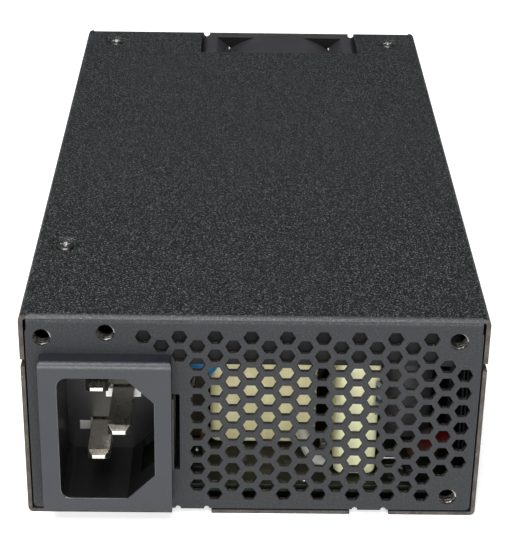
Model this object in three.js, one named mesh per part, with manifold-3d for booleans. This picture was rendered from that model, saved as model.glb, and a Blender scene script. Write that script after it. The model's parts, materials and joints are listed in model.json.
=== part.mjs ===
// A compact computer power supply: a folded sheet-metal box with a mains inlet and a hexagonal
// vent grille on its rear panel, and a 40 mm fan and output sockets in its far wall.
// Millimetres, +Z up. The rear panel faces -Y and the far wall faces +Y.

import * as THREE from 'three';
import { mergeVertices } from 'three/addons/utils/BufferGeometryUtils.js';
import Module from 'manifold-3d';

const wasm = await Module();
wasm.setup();

// ---------------------------------------------------------------- driving dimensions

const sheet = 0.8;                 // thickness of the folded steel
const gap = 0.3;                   // clearance between neighbouring pieces

const caseHalfWidth = 40.75;
const caseHalfLength = 75;
const caseHeight = 40.5;
const rearY = -caseHalfLength;
const farY = caseHalfLength;

const endWallHalfWidth = 39.6;     // rear panel and far wall, between the side walls
const reliefHalfWidth = 39.35;     // the same walls where they bend into the top
const reliefZ = 38.2;              // height where the corner relief starts
const endWallLowZ = 1.1;
const bendRadius = 1.4;            // outer radius of the bend between top and end walls
const flangeBendRadius = 1.2;
const flangeLowZ = 31.7;           // lower end of the cover's short side flanges
const flangeHalfLength = 74.55;

const trayHalfWidth = 40.65;
const traySideHighZ = 30.6;
const trayBendRadius = 1.0;
const trayLips = [                 // the left one stops for the output heat sink
  { side: -1, stretches: [[-73.3, -0.8], [45, 73.3]] },
  { side: 1, stretches: [[-73.3, 73.3]] },
];

const hexAcrossFlats = 2.5;
const hexPitch = 3.6;
const hexOriginX = -6.76;
const hexOriginZ = 36.7;

const mountHoleRadius = 1.65;
const collarRadius = 2.3;
const collarDepth = 1.8;

const inletX = -25.75;
const inletZ = 17.8;
const inletFlangeX = [-37.35, -14.35];
const inletFlangeZ = [2.8, 33.2];
const inletProud = 3.5;
const inletMouthWidth = 17;
const inletMouthHeight = 25;
const inletWall = 1.15;
const inletCavityBackY = -61.5;
const inletBackWall = 1.5;
const inletCornerChamfer = 5;
const inletHoleX = -31.1;          // square hole in the cavity's back wall
const inletHoleZ = 10.2;
const inletHoleSize = 2;

const bladeWidth = 4;
const bladeThickness = 2;
const bladeSpacing = 14.2;
const bladeOffset = 2;             // line and neutral to one side, earth to the other
const liveTipY = -73.2;
const earthTipY = -76.2;
const bladeEndY = -53;

const fanSize = 40;
const fanX = 6.9;
const fanZ = 20.1;
const fanNearY = 59.5;
const fanFarY = 73.95;
const fanHolePitch = 32;
const fanBoreRadius = 18.8;
const fanScrewHeadHeight = 1.5;
const fanScrewHoleRadius = 2.15;
const wallScrewHoleRadius = 1.95;
const fanCornerRadius = 4.4;
const fanFlangeThickness = 2.5;
const barrelRadius = 20.9;
const fanWindowX = [-12.3, 25.7];  // opening in the top, over the fan
const fanWindowNearY = fanNearY - 0.2;
const notchRadius = 0.72;
const notchLowZ = 39.1;
const notchOffset = 18;
const guardWireRadius = 0.6;

const boardLowZ = 3.4;
const boardHighZ = 5;
const partSeatZ = boardHighZ + gap;
const sinkX = 36.2;                // the two heat sinks stand along the side walls

const socketPitch = 4.2;
const socketWidth = 9.6;
const socketNearY = 62.5;
const socketFarY = 75.6;
const outputBoardY = [60.6, 62.2];

const guardY = farY + gap + guardWireRadius;
const fanScrewHeadY = guardY + guardWireRadius + gap;
const farProud = fanScrewHeadY + fanScrewHeadHeight - farY;

// ---------------------------------------------------------------- places that several pieces share

const coverScrews = {
  cover_screw_rear_left: { x: -35.2, y: -46.7, side: -1 },
  cover_screw_far_left: { x: -33.4, y: 67, side: -1 },
  cover_screw_far_right: { x: 33.6, y: 67.4, side: 1 },
};

const mountHoles = [
  { x: -36.73, z: 36.42 },
  { x: -25.72, z: 37.43 },
  { x: 35.39, z: 36.32 },
  { x: 35.4, z: 4.04 },
];

const boardFixings = [
  { x: -34.8, y: -43.5 },
  { x: 31.5, y: -43.5 },
  { x: -34.8, y: 52 },
  { x: 34.8, y: 52 },
];

const sockets = {
  main_socket_wide: { x: -33.4, z: 20.2, rows: 7 },
  main_socket_narrow: { x: -21.8, z: 20.2, rows: 5 },
  processor_socket: { x: 33.7, z: 26.6, rows: 4 },
  graphics_socket: { x: 33.7, z: 9.5, rows: 3 },
};

const panelTabs = [
  { x: -10.8, notchLow: -14.5, notchHigh: -7.35 },
  { x: 21.3, notchLow: 17.8, notchHigh: 24.9 },
];
const corners = [[-1, -1], [1, -1], [-1, 1], [1, 1]];

const tabWidth = 4.2;
const tabLength = 2.4;
const notchDepth = 2.9;

// ---------------------------------------------------------------- solid helpers

function solid(geometry) {
  const bare = geometry.clone();
  bare.deleteAttribute('normal');
  bare.deleteAttribute('uv');
  const merged = mergeVertices(bare, 1e-4);
  return new wasm.Manifold(new wasm.Mesh({
    numProp: 3,
    vertProperties: merged.attributes.position.array,
    triVerts: Uint32Array.from(merged.index.array),
  }));
}

function geometryOf(body) {
  const mesh = body.getMesh();
  const geometry = new THREE.BufferGeometry();
  geometry.setAttribute('position', new THREE.BufferAttribute(mesh.vertProperties, 3));
  geometry.setIndex(new THREE.BufferAttribute(mesh.triVerts, 1));
  geometry.computeVertexNormals();
  return geometry;
}

const join = (...bodies) => bodies.reduce((whole, body) => whole.add(body));
const cut = (whole, ...tools) => tools.reduce((left, tool) => left.subtract(tool), whole);

function block(xLow, xHigh, yLow, yHigh, zLow, zHigh) {
  const box = new THREE.BoxGeometry(xHigh - xLow, yHigh - yLow, zHigh - zLow);
  box.translate((xLow + xHigh) / 2, (yLow + yHigh) / 2, (zLow + zHigh) / 2);
  return solid(box);
}

function extrude(outline, depth, segments = 4) {
  return new THREE.ExtrudeGeometry(outline, { depth, bevelEnabled: false, curveSegments: segments });
}

// An outline drawn in X and Y, extruded up from zLow to zHigh.
function plateXY(outline, zLow, zHigh, segments) {
  const plate = extrude(outline, zHigh - zLow, segments);
  plate.translate(0, 0, zLow);
  return solid(plate);
}

// An outline drawn in X and Z, extruded from yLow to yHigh.
function plateXZ(outline, yLow, yHigh, segments) {
  const plate = extrude(outline, yHigh - yLow, segments);
  plate.rotateX(Math.PI / 2);
  plate.translate(0, yHigh, 0);
  return solid(plate);
}

// An outline drawn in Y and Z, extruded from xLow to xHigh.
function plateYZ(outline, xLow, xHigh, segments) {
  const plate = extrude(outline, xHigh - xLow, segments);
  const toYZ = new THREE.Matrix4().makeBasis(
    new THREE.Vector3(0, 1, 0), new THREE.Vector3(0, 0, 1), new THREE.Vector3(1, 0, 0));
  plate.applyMatrix4(toYZ);
  plate.translate(xLow, 0, 0);
  return solid(plate);
}

// A round bar from a profile of [radius, height] pairs, turned about its own +Z axis.
function turned(profile, segments = 12) {
  const points = profile.map(([radius, height]) => new THREE.Vector2(radius, height));
  const lathe = new THREE.LatheGeometry(points, segments);
  lathe.rotateX(Math.PI / 2);
  return solid(lathe);
}

function rod(radius, zLow, zHigh, segments = 12) {
  return turned([[0, zLow], [radius, zLow], [radius, zHigh], [0, zHigh]], segments);
}

function ring(inner, outer, zLow, zHigh, segments = 12) {
  return turned([[inner, zLow], [outer, zLow], [outer, zHigh], [inner, zHigh], [inner, zLow]], segments);
}

const alongY = (body) => body.rotate([-90, 0, 0]);
const at = (body, x, y, z) => body.translate([x, y, z]);

function rectangle(xLow, xHigh, yLow, yHigh, radius = 0) {
  const shape = new THREE.Shape();
  if (radius === 0) {
    shape.moveTo(xLow, yLow).lineTo(xHigh, yLow).lineTo(xHigh, yHigh).lineTo(xLow, yHigh);
    return shape;
  }
  const quarter = Math.PI / 2;
  shape.moveTo(xLow + radius, yLow);
  shape.absarc(xHigh - radius, yLow + radius, radius, -quarter, 0, false);
  shape.absarc(xHigh - radius, yHigh - radius, radius, 0, quarter, false);
  shape.absarc(xLow + radius, yHigh - radius, radius, quarter, 2 * quarter, false);
  shape.absarc(xLow + radius, yLow + radius, radius, 2 * quarter, 3 * quarter, false);
  return shape;
}

function roundBlock(xLow, xHigh, yLow, yHigh, zLow, zHigh, radius, segments = 3) {
  return plateXY(rectangle(xLow, xHigh, yLow, yHigh, radius), zLow, zHigh, segments);
}

// ---------------------------------------------------------------- cover

// Hexagons with flat tops in staggered columns. Each entry is the first and last column of a row.
function ventRows() {
  const fixed = [[-4, 12], [-3, 11], [-2, 12], [-1, 13]];
  const middle = Array.from({ length: 12 }, (_, k) => (k % 2 === 0 ? [0, 14] : [-1, 13]));
  return [...fixed, ...middle, [0, 12], [-1, 11], [0, 12]];
}

function ventCentres() {
  const columnPitch = hexPitch * Math.cos(Math.PI / 6);
  return ventRows().flatMap(([first, last], row) => {
    const count = (last - first) / 2 + 1;
    return Array.from({ length: count }, (_, k) => ({
      x: hexOriginX + columnPitch * (first + 2 * k),
      z: hexOriginZ - (row * hexPitch) / 2,
    }));
  });
}

function hexagonPath(x, z) {
  const radius = hexAcrossFlats / Math.sqrt(3);
  const corner = (k) => {
    const angle = (-k * Math.PI) / 3;
    return [x + radius * Math.cos(angle), z + radius * Math.sin(angle)];
  };
  const path = new THREE.Path().moveTo(...corner(0));
  for (let k = 1; k < 6; k += 1) {
    path.lineTo(...corner(k));
  }
  return path;
}

// The inlet's outline: two rounded corners on one side and two bevelled ones on the other.
function inletOutline(grow, Kind = THREE.Shape) {
  const left = inletX - inletMouthWidth / 2 - grow;
  const right = inletX + inletMouthWidth / 2 + grow;
  const low = inletZ - inletMouthHeight / 2 - grow;
  const high = inletZ + inletMouthHeight / 2 + grow;
  const bevel = inletCornerChamfer + grow * (2 - Math.SQRT2);
  const radius = 1.9 + grow;
  const outline = new Kind();
  outline.moveTo(left + radius, low);
  outline.lineTo(right - bevel, low);
  outline.lineTo(right, low + bevel);
  outline.lineTo(right, high - bevel);
  outline.lineTo(right - bevel, high);
  outline.lineTo(left + radius, high);
  outline.absarc(left + radius, high - radius, radius, Math.PI / 2, Math.PI, false);
  outline.absarc(left + radius, low + radius, radius, Math.PI, 1.5 * Math.PI, false);
  return outline;
}

function endWallOutline() {
  return rectangle(-endWallHalfWidth, endWallHalfWidth, endWallLowZ, reliefZ, 0.9);
}

// The inlet's snap-in tongue, which shows in a slot of the panel beside the inlet.
const latch = { xLow: -14.9, xHigh: -14.05, zLow: 10, zHigh: 24.7 };

function rearPanel() {
  const outline = endWallOutline();
  outline.holes.push(...ventCentres().map(({ x, z }) => hexagonPath(x, z)));
  outline.holes.push(inletOutline(inletWall + gap, THREE.Path));
  const plate = plateXZ(outline, rearY, rearY + sheet, 4);
  const latchSlot = block(
    latch.xLow - 1.1, latch.xHigh + 1.05, rearY - 1, rearY + 2, latch.zLow - 0.5, latch.zHigh + 0.5);
  return cut(plate, latchSlot);
}

function panelTab({ x }) {
  const half = tabWidth / 2;
  const foot = block(x - half, x + half, rearY + 0.2, rearY + tabLength, endWallLowZ - 0.25,
    endWallLowZ + sheet - 0.25);
  const leg = block(x - half, x + half, rearY, rearY + sheet, endWallLowZ, endWallLowZ + 1.6);
  return join(foot, leg);
}

function tabRelief({ x }) {
  const side = (sign) => at(alongY(rod(0.5, -1, 2, 8)), x + sign * (tabWidth / 2 + 0.5), rearY, endWallLowZ);
  return join(side(-1), side(1));
}

function farWall() {
  const outline = endWallOutline();
  for (const { x, z, rows } of Object.values(sockets)) {
    const halfWidth = socketWidth / 2 + gap;
    const halfHeight = socketHeight(rows) / 2 + gap;
    outline.holes.push(rectangle(x - halfWidth, x + halfWidth, z - halfHeight, z + halfHeight));
  }
  return plateXZ(outline, farY - sheet, farY, 6);
}

// The top with both bends, seen from the side, ending in two short legs.
function topProfile() {
  const legZ = reliefZ - 0.2;
  const inner = bendRadius - sheet;
  const bendZ = caseHeight - bendRadius;
  const profile = new THREE.Shape();
  profile.moveTo(rearY, legZ);
  profile.lineTo(rearY, bendZ);
  profile.absarc(rearY + bendRadius, bendZ, bendRadius, Math.PI, Math.PI / 2, true);
  profile.absarc(farY - bendRadius, bendZ, bendRadius, Math.PI / 2, 0, true);
  profile.lineTo(farY, legZ);
  profile.lineTo(farY - sheet, legZ);
  profile.absarc(farY - bendRadius, bendZ, inner, 0, Math.PI / 2, false);
  profile.absarc(rearY + bendRadius, bendZ, inner, Math.PI / 2, Math.PI, false);
  profile.lineTo(rearY + sheet, legZ);
  return profile;
}

// A channel seen from its end: a flat web, two bends and two legs.
function channelProfile(halfWidth, webZ, legEndZ, radius) {
  const down = Math.sign(legEndZ - webZ);
  const inner = radius - sheet;
  const bendZ = webZ + down * radius;
  const profile = new THREE.Shape();
  profile.moveTo(halfWidth, legEndZ);
  profile.lineTo(halfWidth, bendZ);
  profile.absarc(halfWidth - radius, bendZ, radius, 0, (-down * Math.PI) / 2, down > 0);
  profile.absarc(radius - halfWidth, bendZ, radius, (-down * Math.PI) / 2, -down * Math.PI, down > 0);
  profile.lineTo(-halfWidth, legEndZ);
  profile.lineTo(sheet - halfWidth, legEndZ);
  profile.absarc(radius - halfWidth, bendZ, inner, -down * Math.PI, (-down * Math.PI) / 2, down < 0);
  profile.absarc(halfWidth - radius, bendZ, inner, (-down * Math.PI) / 2, 0, down < 0);
  profile.lineTo(halfWidth - sheet, legEndZ);
  return profile;
}

// The round hole behind the fan and the four holes of its screws.
function fanOpening() {
  const half = fanHolePitch / 2;
  const yRange = [farY - sheet - 1, farY + 1];
  const hole = ([signX, signZ]) => at(
    alongY(rod(wallScrewHoleRadius, ...yRange, 8)), fanX + signX * half, 0, fanZ + signZ * half);
  return join(at(alongY(rod(fanBoreRadius - 0.2, ...yRange, 32)), fanX, 0, fanZ), ...corners.map(hole));
}

const dimple = { rim: 3.1, throat: 1.75, depth: 1 };

function dimpleBoss({ x, y }) {
  const underside = caseHeight - sheet;
  const cone = [[0, -dimple.depth], [dimple.throat + 0.3, -dimple.depth], [dimple.rim + 0.3, 0.1], [0, 0.1]];
  return at(turned(cone), x, y, underside);
}

function dimpleCut({ x, y }) {
  const { rim, throat, depth } = dimple;
  const cone = [[0, -depth - 2], [throat, -depth - 2], [throat, -depth], [rim, 0], [rim, 1], [0, 1]];
  return at(turned(cone), x, y, caseHeight);
}

// The opening over the fan, with a round-bottomed relief notch in the bend at each end.
function fanWindow() {
  const farEdgeY = farY - sheet - 0.05;
  const opening = block(fanWindowX[0], fanWindowX[1], fanWindowNearY, farEdgeY, 36, caseHeight + 1);
  const notch = (x) => {
    const bottom = at(alongY(rod(notchRadius, farEdgeY - 0.5, farY + 1)), x, 0, notchLowZ + notchRadius);
    const mouth = block(x - notchRadius, x + notchRadius, farEdgeY - 0.5, farY + 1,
      notchLowZ + notchRadius, caseHeight + 1);
    return join(bottom, mouth);
  };
  return join(opening, notch(fanX - notchOffset), notch(fanX + notchOffset));
}

function cover() {
  const channel = channelProfile(caseHalfWidth, caseHeight, flangeLowZ, flangeBendRadius);
  const bendArea = (lowY, highY) => block(
    -reliefHalfWidth, reliefHalfWidth, lowY, highY, reliefZ, caseHeight + 1);
  const flanges = cut(plateXZ(channel, -flangeHalfLength, flangeHalfLength, 4),
    bendArea(rearY, rearY + bendRadius), bendArea(farY - bendRadius, farY));
  const top = plateYZ(topProfile(), -reliefHalfWidth, reliefHalfWidth, 5);
  const screws = Object.values(coverScrews);
  const collar = ({ x, z }) => at(alongY(rod(collarRadius, 0, sheet + collarDepth - 0.2)), x, rearY + 0.2, z);
  const hole = ({ x, z }) => at(alongY(rod(mountHoleRadius, -1, 4)), x, rearY, z);
  const whole = join(top, flanges, rearPanel(), farWall(), ...panelTabs.map(panelTab),
    ...screws.map(dimpleBoss), ...mountHoles.map(collar));
  return cut(whole, ...mountHoles.map(hole), ...screws.map(dimpleCut), ...panelTabs.map(tabRelief),
    fanWindow(), fanOpening());
}

// A recessed countersunk screw with a cross recess. Its head's top is at z = 0.
function coverScrew() {
  const head = [[0, -3.6], [1.2, -3.6], [1.2, -1.1], [2.35, -0.1], [2.35, 0], [0, 0]];
  const slot = block(-1.45, 1.45, -0.35, 0.35, -0.8, 1);
  return cut(turned(head), slot, slot.rotate([0, 0, 90]));
}

// ---------------------------------------------------------------- tray

// An ear that steps in from the side wall and turns over to take a cover screw.
function trayEar({ x, y, side }) {
  const inner = trayHalfWidth - sheet;
  const legX = [inner - 1.05, inner - 0.25];
  const earZ = [37.7, 38.5];
  const halfLength = 4.5;
  const between = (a, b) => [Math.min(a, b), Math.max(a, b)];
  const yRange = [y - halfLength, y + halfLength];
  const leg = block(...between(side * legX[0], side * legX[1]), ...yRange, 24, earZ[1]);
  const foot = block(...between(side * legX[0], side * (inner + 0.2)), ...yRange, 24, 29.5);
  const ear = block(...between(side * legX[1], x - side * 4), ...yRange, ...earZ);
  const thread = at(rod(1.5, earZ[0] - 1, earZ[1] + 1, 12), x, y, 0);
  return cut(join(leg, foot, ear), thread);
}

// A lip inside the top of a side wall, which closes the seam under the cover's flange. Each of its
// stretches is a range along the wall.
function trayLip({ side, stretches }) {
  const inner = trayHalfWidth - sheet;
  const between = (a, b) => [Math.min(a, b), Math.max(a, b)];
  return stretches.flatMap(([lowY, highY]) => [
    block(...between(side * (inner - 1.05), side * (inner - 0.25)), lowY, highY, 28.6, 34.2),
    block(...between(side * (inner - 1.05), side * (inner + 0.2)), lowY, highY, 28.6, 30.2),
  ]);
}

function baseTray() {
  const profile = channelProfile(trayHalfWidth, 0, traySideHighZ, trayBendRadius);
  const channel = plateXZ(profile, rearY, farY, 4);
  const notch = ({ notchLow, notchHigh }) => block(
    notchLow, notchHigh, rearY - 1, rearY + notchDepth, -1, sheet + 0.05);
  const half = fanSize / 2 + gap;
  const fanOpening = block(fanX - half, fanX + half, fanNearY - gap, farY + 1, -1, sheet + 0.2);
  const ears = Object.values(coverScrews).map(trayEar);
  const lips = trayLips.flatMap(trayLip);
  return cut(join(channel, ...ears, ...lips), ...panelTabs.map(notch), fanOpening);
}

// A thin black sheet under the top, with a flap that hangs behind the rear panel. The flap's upper
// corners are cut away to clear the collars of the mount holes.
function insulationFilm() {
  const thickness = 0.3;
  const flapY = rearY + 1.4;
  const flapHalfWidth = 38.6;
  const shoulderZ = 33.5;
  const shoulderX = [-22.6, 32.4];
  const highZ = caseHeight - sheet - gap;
  const outline = new THREE.Shape();
  outline.moveTo(-flapHalfWidth, traySideHighZ).lineTo(flapHalfWidth, traySideHighZ);
  outline.lineTo(flapHalfWidth, shoulderZ).lineTo(shoulderX[1], shoulderZ).lineTo(shoulderX[1], highZ);
  outline.lineTo(shoulderX[0], highZ).lineTo(shoulderX[0], shoulderZ).lineTo(-flapHalfWidth, shoulderZ);
  const flap = plateXZ(outline, flapY, flapY + thickness);
  const top = block(-22, 28.8, flapY, fanNearY - 3, highZ - thickness, highZ);
  const inletTop = inletZ + inletMouthHeight / 2 + inletWall + 0.5;
  const half = inletMouthWidth / 2 + inletWall + 0.5;
  const inletNotch = block(inletX - half, inletX + half, flapY - 1, flapY + 1, 20, inletTop);
  return cut(join(flap, top), inletNotch);
}

// ---------------------------------------------------------------- mains inlet

function inletFlange() {
  const [left, right] = inletFlangeX;
  const [low, high] = inletFlangeZ;
  const frontY = rearY - inletProud;
  const backY = rearY - 0.15;
  const face = plateXZ(rectangle(left, right, low, high, 0.6), frontY, backY, 3);
  const radius = 1.3;
  const side = new THREE.Shape();
  side.moveTo(backY + 1, low - 1).lineTo(backY + 1, high).lineTo(frontY + radius, high);
  side.absarc(frontY + radius, high - radius, radius, Math.PI / 2, Math.PI, false);
  side.lineTo(frontY, low - 1);
  return face.intersect(plateYZ(side, left - 1, right + 1, 4));
}

const blades = {
  line_blade: { x: inletX - bladeOffset, z: inletZ + bladeSpacing / 2, tipY: liveTipY, slotGrow: 0.3 },
  neutral_blade: { x: inletX - bladeOffset, z: inletZ - bladeSpacing / 2, tipY: liveTipY, slotGrow: 0.3 },
  earth_blade: { x: inletX + bladeOffset, z: inletZ, tipY: earthTipY, slotGrow: 1.05 },
};

function inletHousing() {
  const backY = inletCavityBackY + inletBackWall;
  const body = plateXZ(inletOutline(inletWall), rearY - 1, backY, 3);
  const cavity = plateXZ(inletOutline(0), rearY - inletProud - 1, inletCavityBackY, 3);
  const tongue = block(latch.xLow, latch.xHigh, rearY - 1, rearY + 8, latch.zLow, latch.zHigh);
  const slots = Object.values(blades).map(({ x, z, slotGrow }) => block(
    x - bladeWidth / 2 - slotGrow, x + bladeWidth / 2 + slotGrow, inletCavityBackY - 1, backY + 1,
    z - bladeThickness / 2 - 0.35, z + bladeThickness / 2 + 0.35));
  const window = block(inletX + 5.6, inletX + 11, rearY + 2, inletCavityBackY - 1, inletZ - 14, inletZ - 7.2);
  const half = inletHoleSize / 2;
  const squareHole = block(inletHoleX - half, inletHoleX + half, inletCavityBackY - 1, backY + 1,
    inletHoleZ - half, inletHoleZ + half);
  return cut(join(inletFlange(), body, tongue), cavity, ...slots, window, squareHole);
}

// A flat blade with a bevelled tip, a plate against the back of the housing and a solder lug.
function bladeBody({ x, z, tipY }) {
  const bevelSize = 0.5;
  const bevelThickness = 1.2;
  const halfWidth = bladeWidth / 2 - bevelSize;
  const halfHeight = bladeThickness / 2 - bevelSize;
  const length = inletCavityBackY + 3 - tipY;
  const bar = new THREE.ExtrudeGeometry(rectangle(-halfWidth, halfWidth, -halfHeight, halfHeight), {
    depth: length - 2 * bevelThickness, bevelEnabled: true, bevelSize, bevelThickness, bevelSegments: 1,
  });
  bar.rotateX(Math.PI / 2);
  bar.translate(x, tipY + length - bevelThickness, z);
  const plateY = inletCavityBackY + inletBackWall + gap;
  const plate = block(x - 3.3, x + 3.3, plateY, plateY + 1.1, z - 2.6, z + 2.6);
  const lug = block(x - 2.4, x + 2.4, plateY + 0.5, bladeEndY, z - 0.4, z + 0.4);
  return join(solid(bar), plate, lug);
}

function tube(points, radius, steps) {
  const curve = new THREE.CatmullRomCurve3(points.map((point) => new THREE.Vector3(...point)));
  const section = new THREE.Shape();
  const corner = (k) => [radius * Math.cos((k * Math.PI) / 4), radius * Math.sin((k * Math.PI) / 4)];
  section.moveTo(...corner(0));
  for (let k = 1; k < 8; k += 1) {
    section.lineTo(...corner(k));
  }
  return solid(new THREE.ExtrudeGeometry(section, { steps, bevelEnabled: false, extrudePath: curve }));
}

const leadStartY = bladeEndY + 0.5;
const leadRadius = 1.1;
const leadEndZ = partSeatZ + 0.2;
const leadRoutes = {
  line_lead: [
    [-27.75, leadStartY, 24.9], [-27.75, -51, 24.9], [-28, -48.4, 21], [-29, -47, 11], [-29, -47, leadEndZ]],
  neutral_lead: [
    [-27.75, leadStartY, 10.7], [-27.75, -51.4, 10.7], [-26, -49.2, 9], [-24.6, -48, 7.4],
    [-24.6, -48, leadEndZ]],
  earth_lead: [
    [-23.75, leadStartY, 17.8], [-23.7, -51, 17.8], [-20.6, -49.4, 12], [-18.8, -49, 8],
    [-18.8, -49, leadEndZ]],
};

// ---------------------------------------------------------------- fan

function fanFrame() {
  const half = fanSize / 2;
  const square = rectangle(-half, half, -half, half, fanCornerRadius);
  const depth = [fanNearY, fanFarY];
  const flange = plateXZ(square, fanFarY - fanFlangeThickness, fanFarY, 4);
  const barrel = alongY(rod(barrelRadius, ...depth, 36)).intersect(plateXZ(square, ...depth, 4));
  const post = ([signX, signZ]) => {
    const section = new THREE.Shape();
    const edges = [[half, half], [half, 15.4], [17.2, 12], [13, 13], [12, 17.2], [15.4, half]];
    edges.forEach(([x, z], k) => (k === 0
      ? section.moveTo(signX * x, signZ * z)
      : section.lineTo(signX * x, signZ * z)));
    return plateXZ(section, ...depth).intersect(plateXZ(square, ...depth, 4));
  };
  const pitch = fanHolePitch / 2;
  const hole = ([signX, signZ]) => at(
    alongY(rod(fanScrewHoleRadius, fanNearY - 1, fanFarY + 1)), signX * pitch, 0, signZ * pitch);
  const bore = alongY(rod(fanBoreRadius, fanNearY - 1, fanFarY + 1, 32));
  const shell = cut(join(flange, barrel, ...corners.map(post)), bore, ...corners.map(hole));
  const base = alongY(rod(10.2, fanNearY, fanNearY + 1.4, 24));
  const seat = alongY(rod(3.6, fanNearY, fanNearY + 10, 16));
  const strut = block(9.5, fanBoreRadius + 0.4, fanNearY, fanNearY + 1.6, -1.1, 1.1);
  const struts = [45, 135, 225, 315].map((angle) => strut.rotate([0, angle, 0]));
  const pocket = alongY(rod(2.7, fanNearY + 1, fanNearY + 11, 16));
  return cut(join(shell, base, seat, ...struts), pocket);
}

const hub = { radius: 10.4, inner: 9.3, nearY: fanNearY + 2.1, capY: fanFarY - 2, farY: fanFarY - 0.8 };

// A blade that runs out from the hub, pitched more steeply at its root than at its tip.
function fanBlade() {
  const sections = 4;
  const tipRadius = fanBoreRadius - 0.8;
  const chord = 9.2;
  const thickness = 0.8;
  const middleY = (hub.nearY + hub.farY) / 2;
  const positions = [];
  for (let k = 0; k < sections; k += 1) {
    const part = k / (sections - 1);
    const radius = hub.radius - 0.6 + part * (tipRadius - hub.radius + 0.6);
    const pitch = THREE.MathUtils.degToRad(52 - 16 * part);
    const sweep = 0.22 * part;
    for (const [along, across] of [[-1, -1], [1, -1], [1, 1], [-1, 1]]) {
      const u = (along * chord) / 2;
      const v = (across * thickness) / 2;
      const side = u * Math.cos(pitch) - v * Math.sin(pitch);
      const y = middleY + u * Math.sin(pitch) + v * Math.cos(pitch);
      const angle = sweep + side / radius;
      positions.push(radius * Math.cos(angle), y, -radius * Math.sin(angle));
    }
  }
  const faces = [0, 2, 1, 0, 3, 2];
  const last = 4 * (sections - 1);
  faces.push(last, last + 1, last + 2, last, last + 2, last + 3);
  for (let k = 0; k < sections - 1; k += 1) {
    for (let j = 0; j < 4; j += 1) {
      const a = 4 * k + j;
      const b = 4 * k + ((j + 1) % 4);
      faces.push(a, b, a + 4, b, b + 4, a + 4);
    }
  }
  const geometry = new THREE.BufferGeometry();
  geometry.setAttribute('position', new THREE.BufferAttribute(new Float32Array(positions), 3));
  geometry.setIndex(faces);
  return solid(geometry);
}

function fanRotor() {
  const bladeCount = 7;
  const hollow = rod(hub.inner, hub.nearY - 1, hub.capY, 28);
  const cup = alongY(cut(rod(hub.radius, hub.nearY, hub.farY, 28), hollow));
  const boss = alongY(ring(1.3, 2.6, hub.capY - 1.2, hub.capY + 0.2, 12));
  const blade = fanBlade();
  const turn = 360 / bladeCount;
  const ringOfBlades = Array.from({ length: bladeCount }, (_, k) => blade.rotate([0, turn * k, 0]));
  return join(cup, boss, ...ringOfBlades);
}

function fanStator() {
  const yoke = ring(3.9, 5.2, 0, 5.5);
  const pole = join(block(4.9, 7.9, -1.1, 1.1, 0, 5.5), block(7.3, 8.5, -3.1, 3.1, 0, 5.5));
  return alongY(join(yoke, ...[0, 90, 180, 270].map((angle) => pole.rotate([0, 0, angle]))));
}

function fingerGuard() {
  const wire = (radius, tubular) => {
    const torus = new THREE.TorusGeometry(radius, guardWireRadius, 5, tubular);
    torus.rotateX(Math.PI / 2);
    return solid(torus);
  };
  const pitch = fanHolePitch / 2;
  const loop = ([signX, signZ]) => at(wire(2.5, 10), signX * pitch, 0, signZ * pitch);
  const spoke = (angle) => {
    const bar = alongY(rod(guardWireRadius - 0.05, 0, pitch * Math.SQRT2 - 2.6, 6));
    return bar.rotate([90, 0, 0]).rotate([0, angle, 0]);
  };
  return join(wire(5.5, 14), wire(10.5, 18), wire(15.5, 22), ...corners.map(loop),
    ...[45, 135, 225, 315].map(spoke));
}

// A pan-head screw whose head rests at z = 0 and points along +Z.
function panScrew(headRadius, headHeight, shankRadius, shankLength) {
  const profile = [[0, -shankLength], [shankRadius, -shankLength], [shankRadius, 0], [headRadius, 0],
    [headRadius, headHeight * 0.6], [headRadius * 0.7, headHeight], [0, headHeight]];
  const reach = headRadius * 0.55;
  const slot = block(-reach, reach, -0.35, 0.35, headHeight * 0.4, headHeight + 1);
  return cut(turned(profile, 12), slot, slot.rotate([0, 0, 90]));
}

// ---------------------------------------------------------------- main board and its parts

function mainBoard() {
  const board = block(-38.5, 38.5, rearY + 2.1, 57.5, boardLowZ, boardHighZ);
  const inletNotch = block(-40, inletX + 5.2, rearY, inletCavityBackY + 4.5, 0, 10);
  const collarNotch = block(32.2, 40, rearY, rearY + 3.2, 0, 10);
  const holes = boardFixings.map(({ x, y }) => at(rod(1.7, 0, 10, 12), x, y, 0));
  return cut(board, inletNotch, collarNotch, ...holes);
}

function toroid(outer, inner, height) {
  const bevel = height * 0.3;
  return turned([
    [inner, bevel], [inner + bevel, 0], [outer - bevel, 0], [outer, bevel], [outer, height - bevel],
    [outer - bevel, height], [inner + bevel, height], [inner, height - bevel], [inner, bevel]], 16);
}

function can(radius, height, segments = 14) {
  const rim = radius * 0.12;
  return turned([[0, 0], [radius - rim, 0], [radius, rim], [radius, height - rim], [radius - rim, height],
    [0, height]], segments);
}

function transformer(halfX, halfY, height) {
  const bobbin = block(-halfX + 2, halfX - 2, -halfY, halfY, 0.6, height - 0.6);
  const legs = block(-halfX, halfX, -halfY * 0.55, halfY * 0.55, 1.5, height);
  const base = block(-halfX + 1, halfX - 1, -halfY, halfY, 0, 2.4);
  return join(bobbin, legs, base);
}

// A flat package standing on its end: a thick plastic body in front of a metal tab.
function transistor() {
  return join(block(-5, 5, -4.4, -1, 0, 9), block(-5, 5, -1.3, 0, 0, 15));
}

function heatSink(length, height) {
  return join(block(0, 1.6, 0, length, 0, height), block(-3, 1.6, 0, length, height - 1.2, height));
}

// ---------------------------------------------------------------- output sockets

function socketHeight(rows) {
  return (rows - 1) * socketPitch + 5.4;
}

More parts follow.
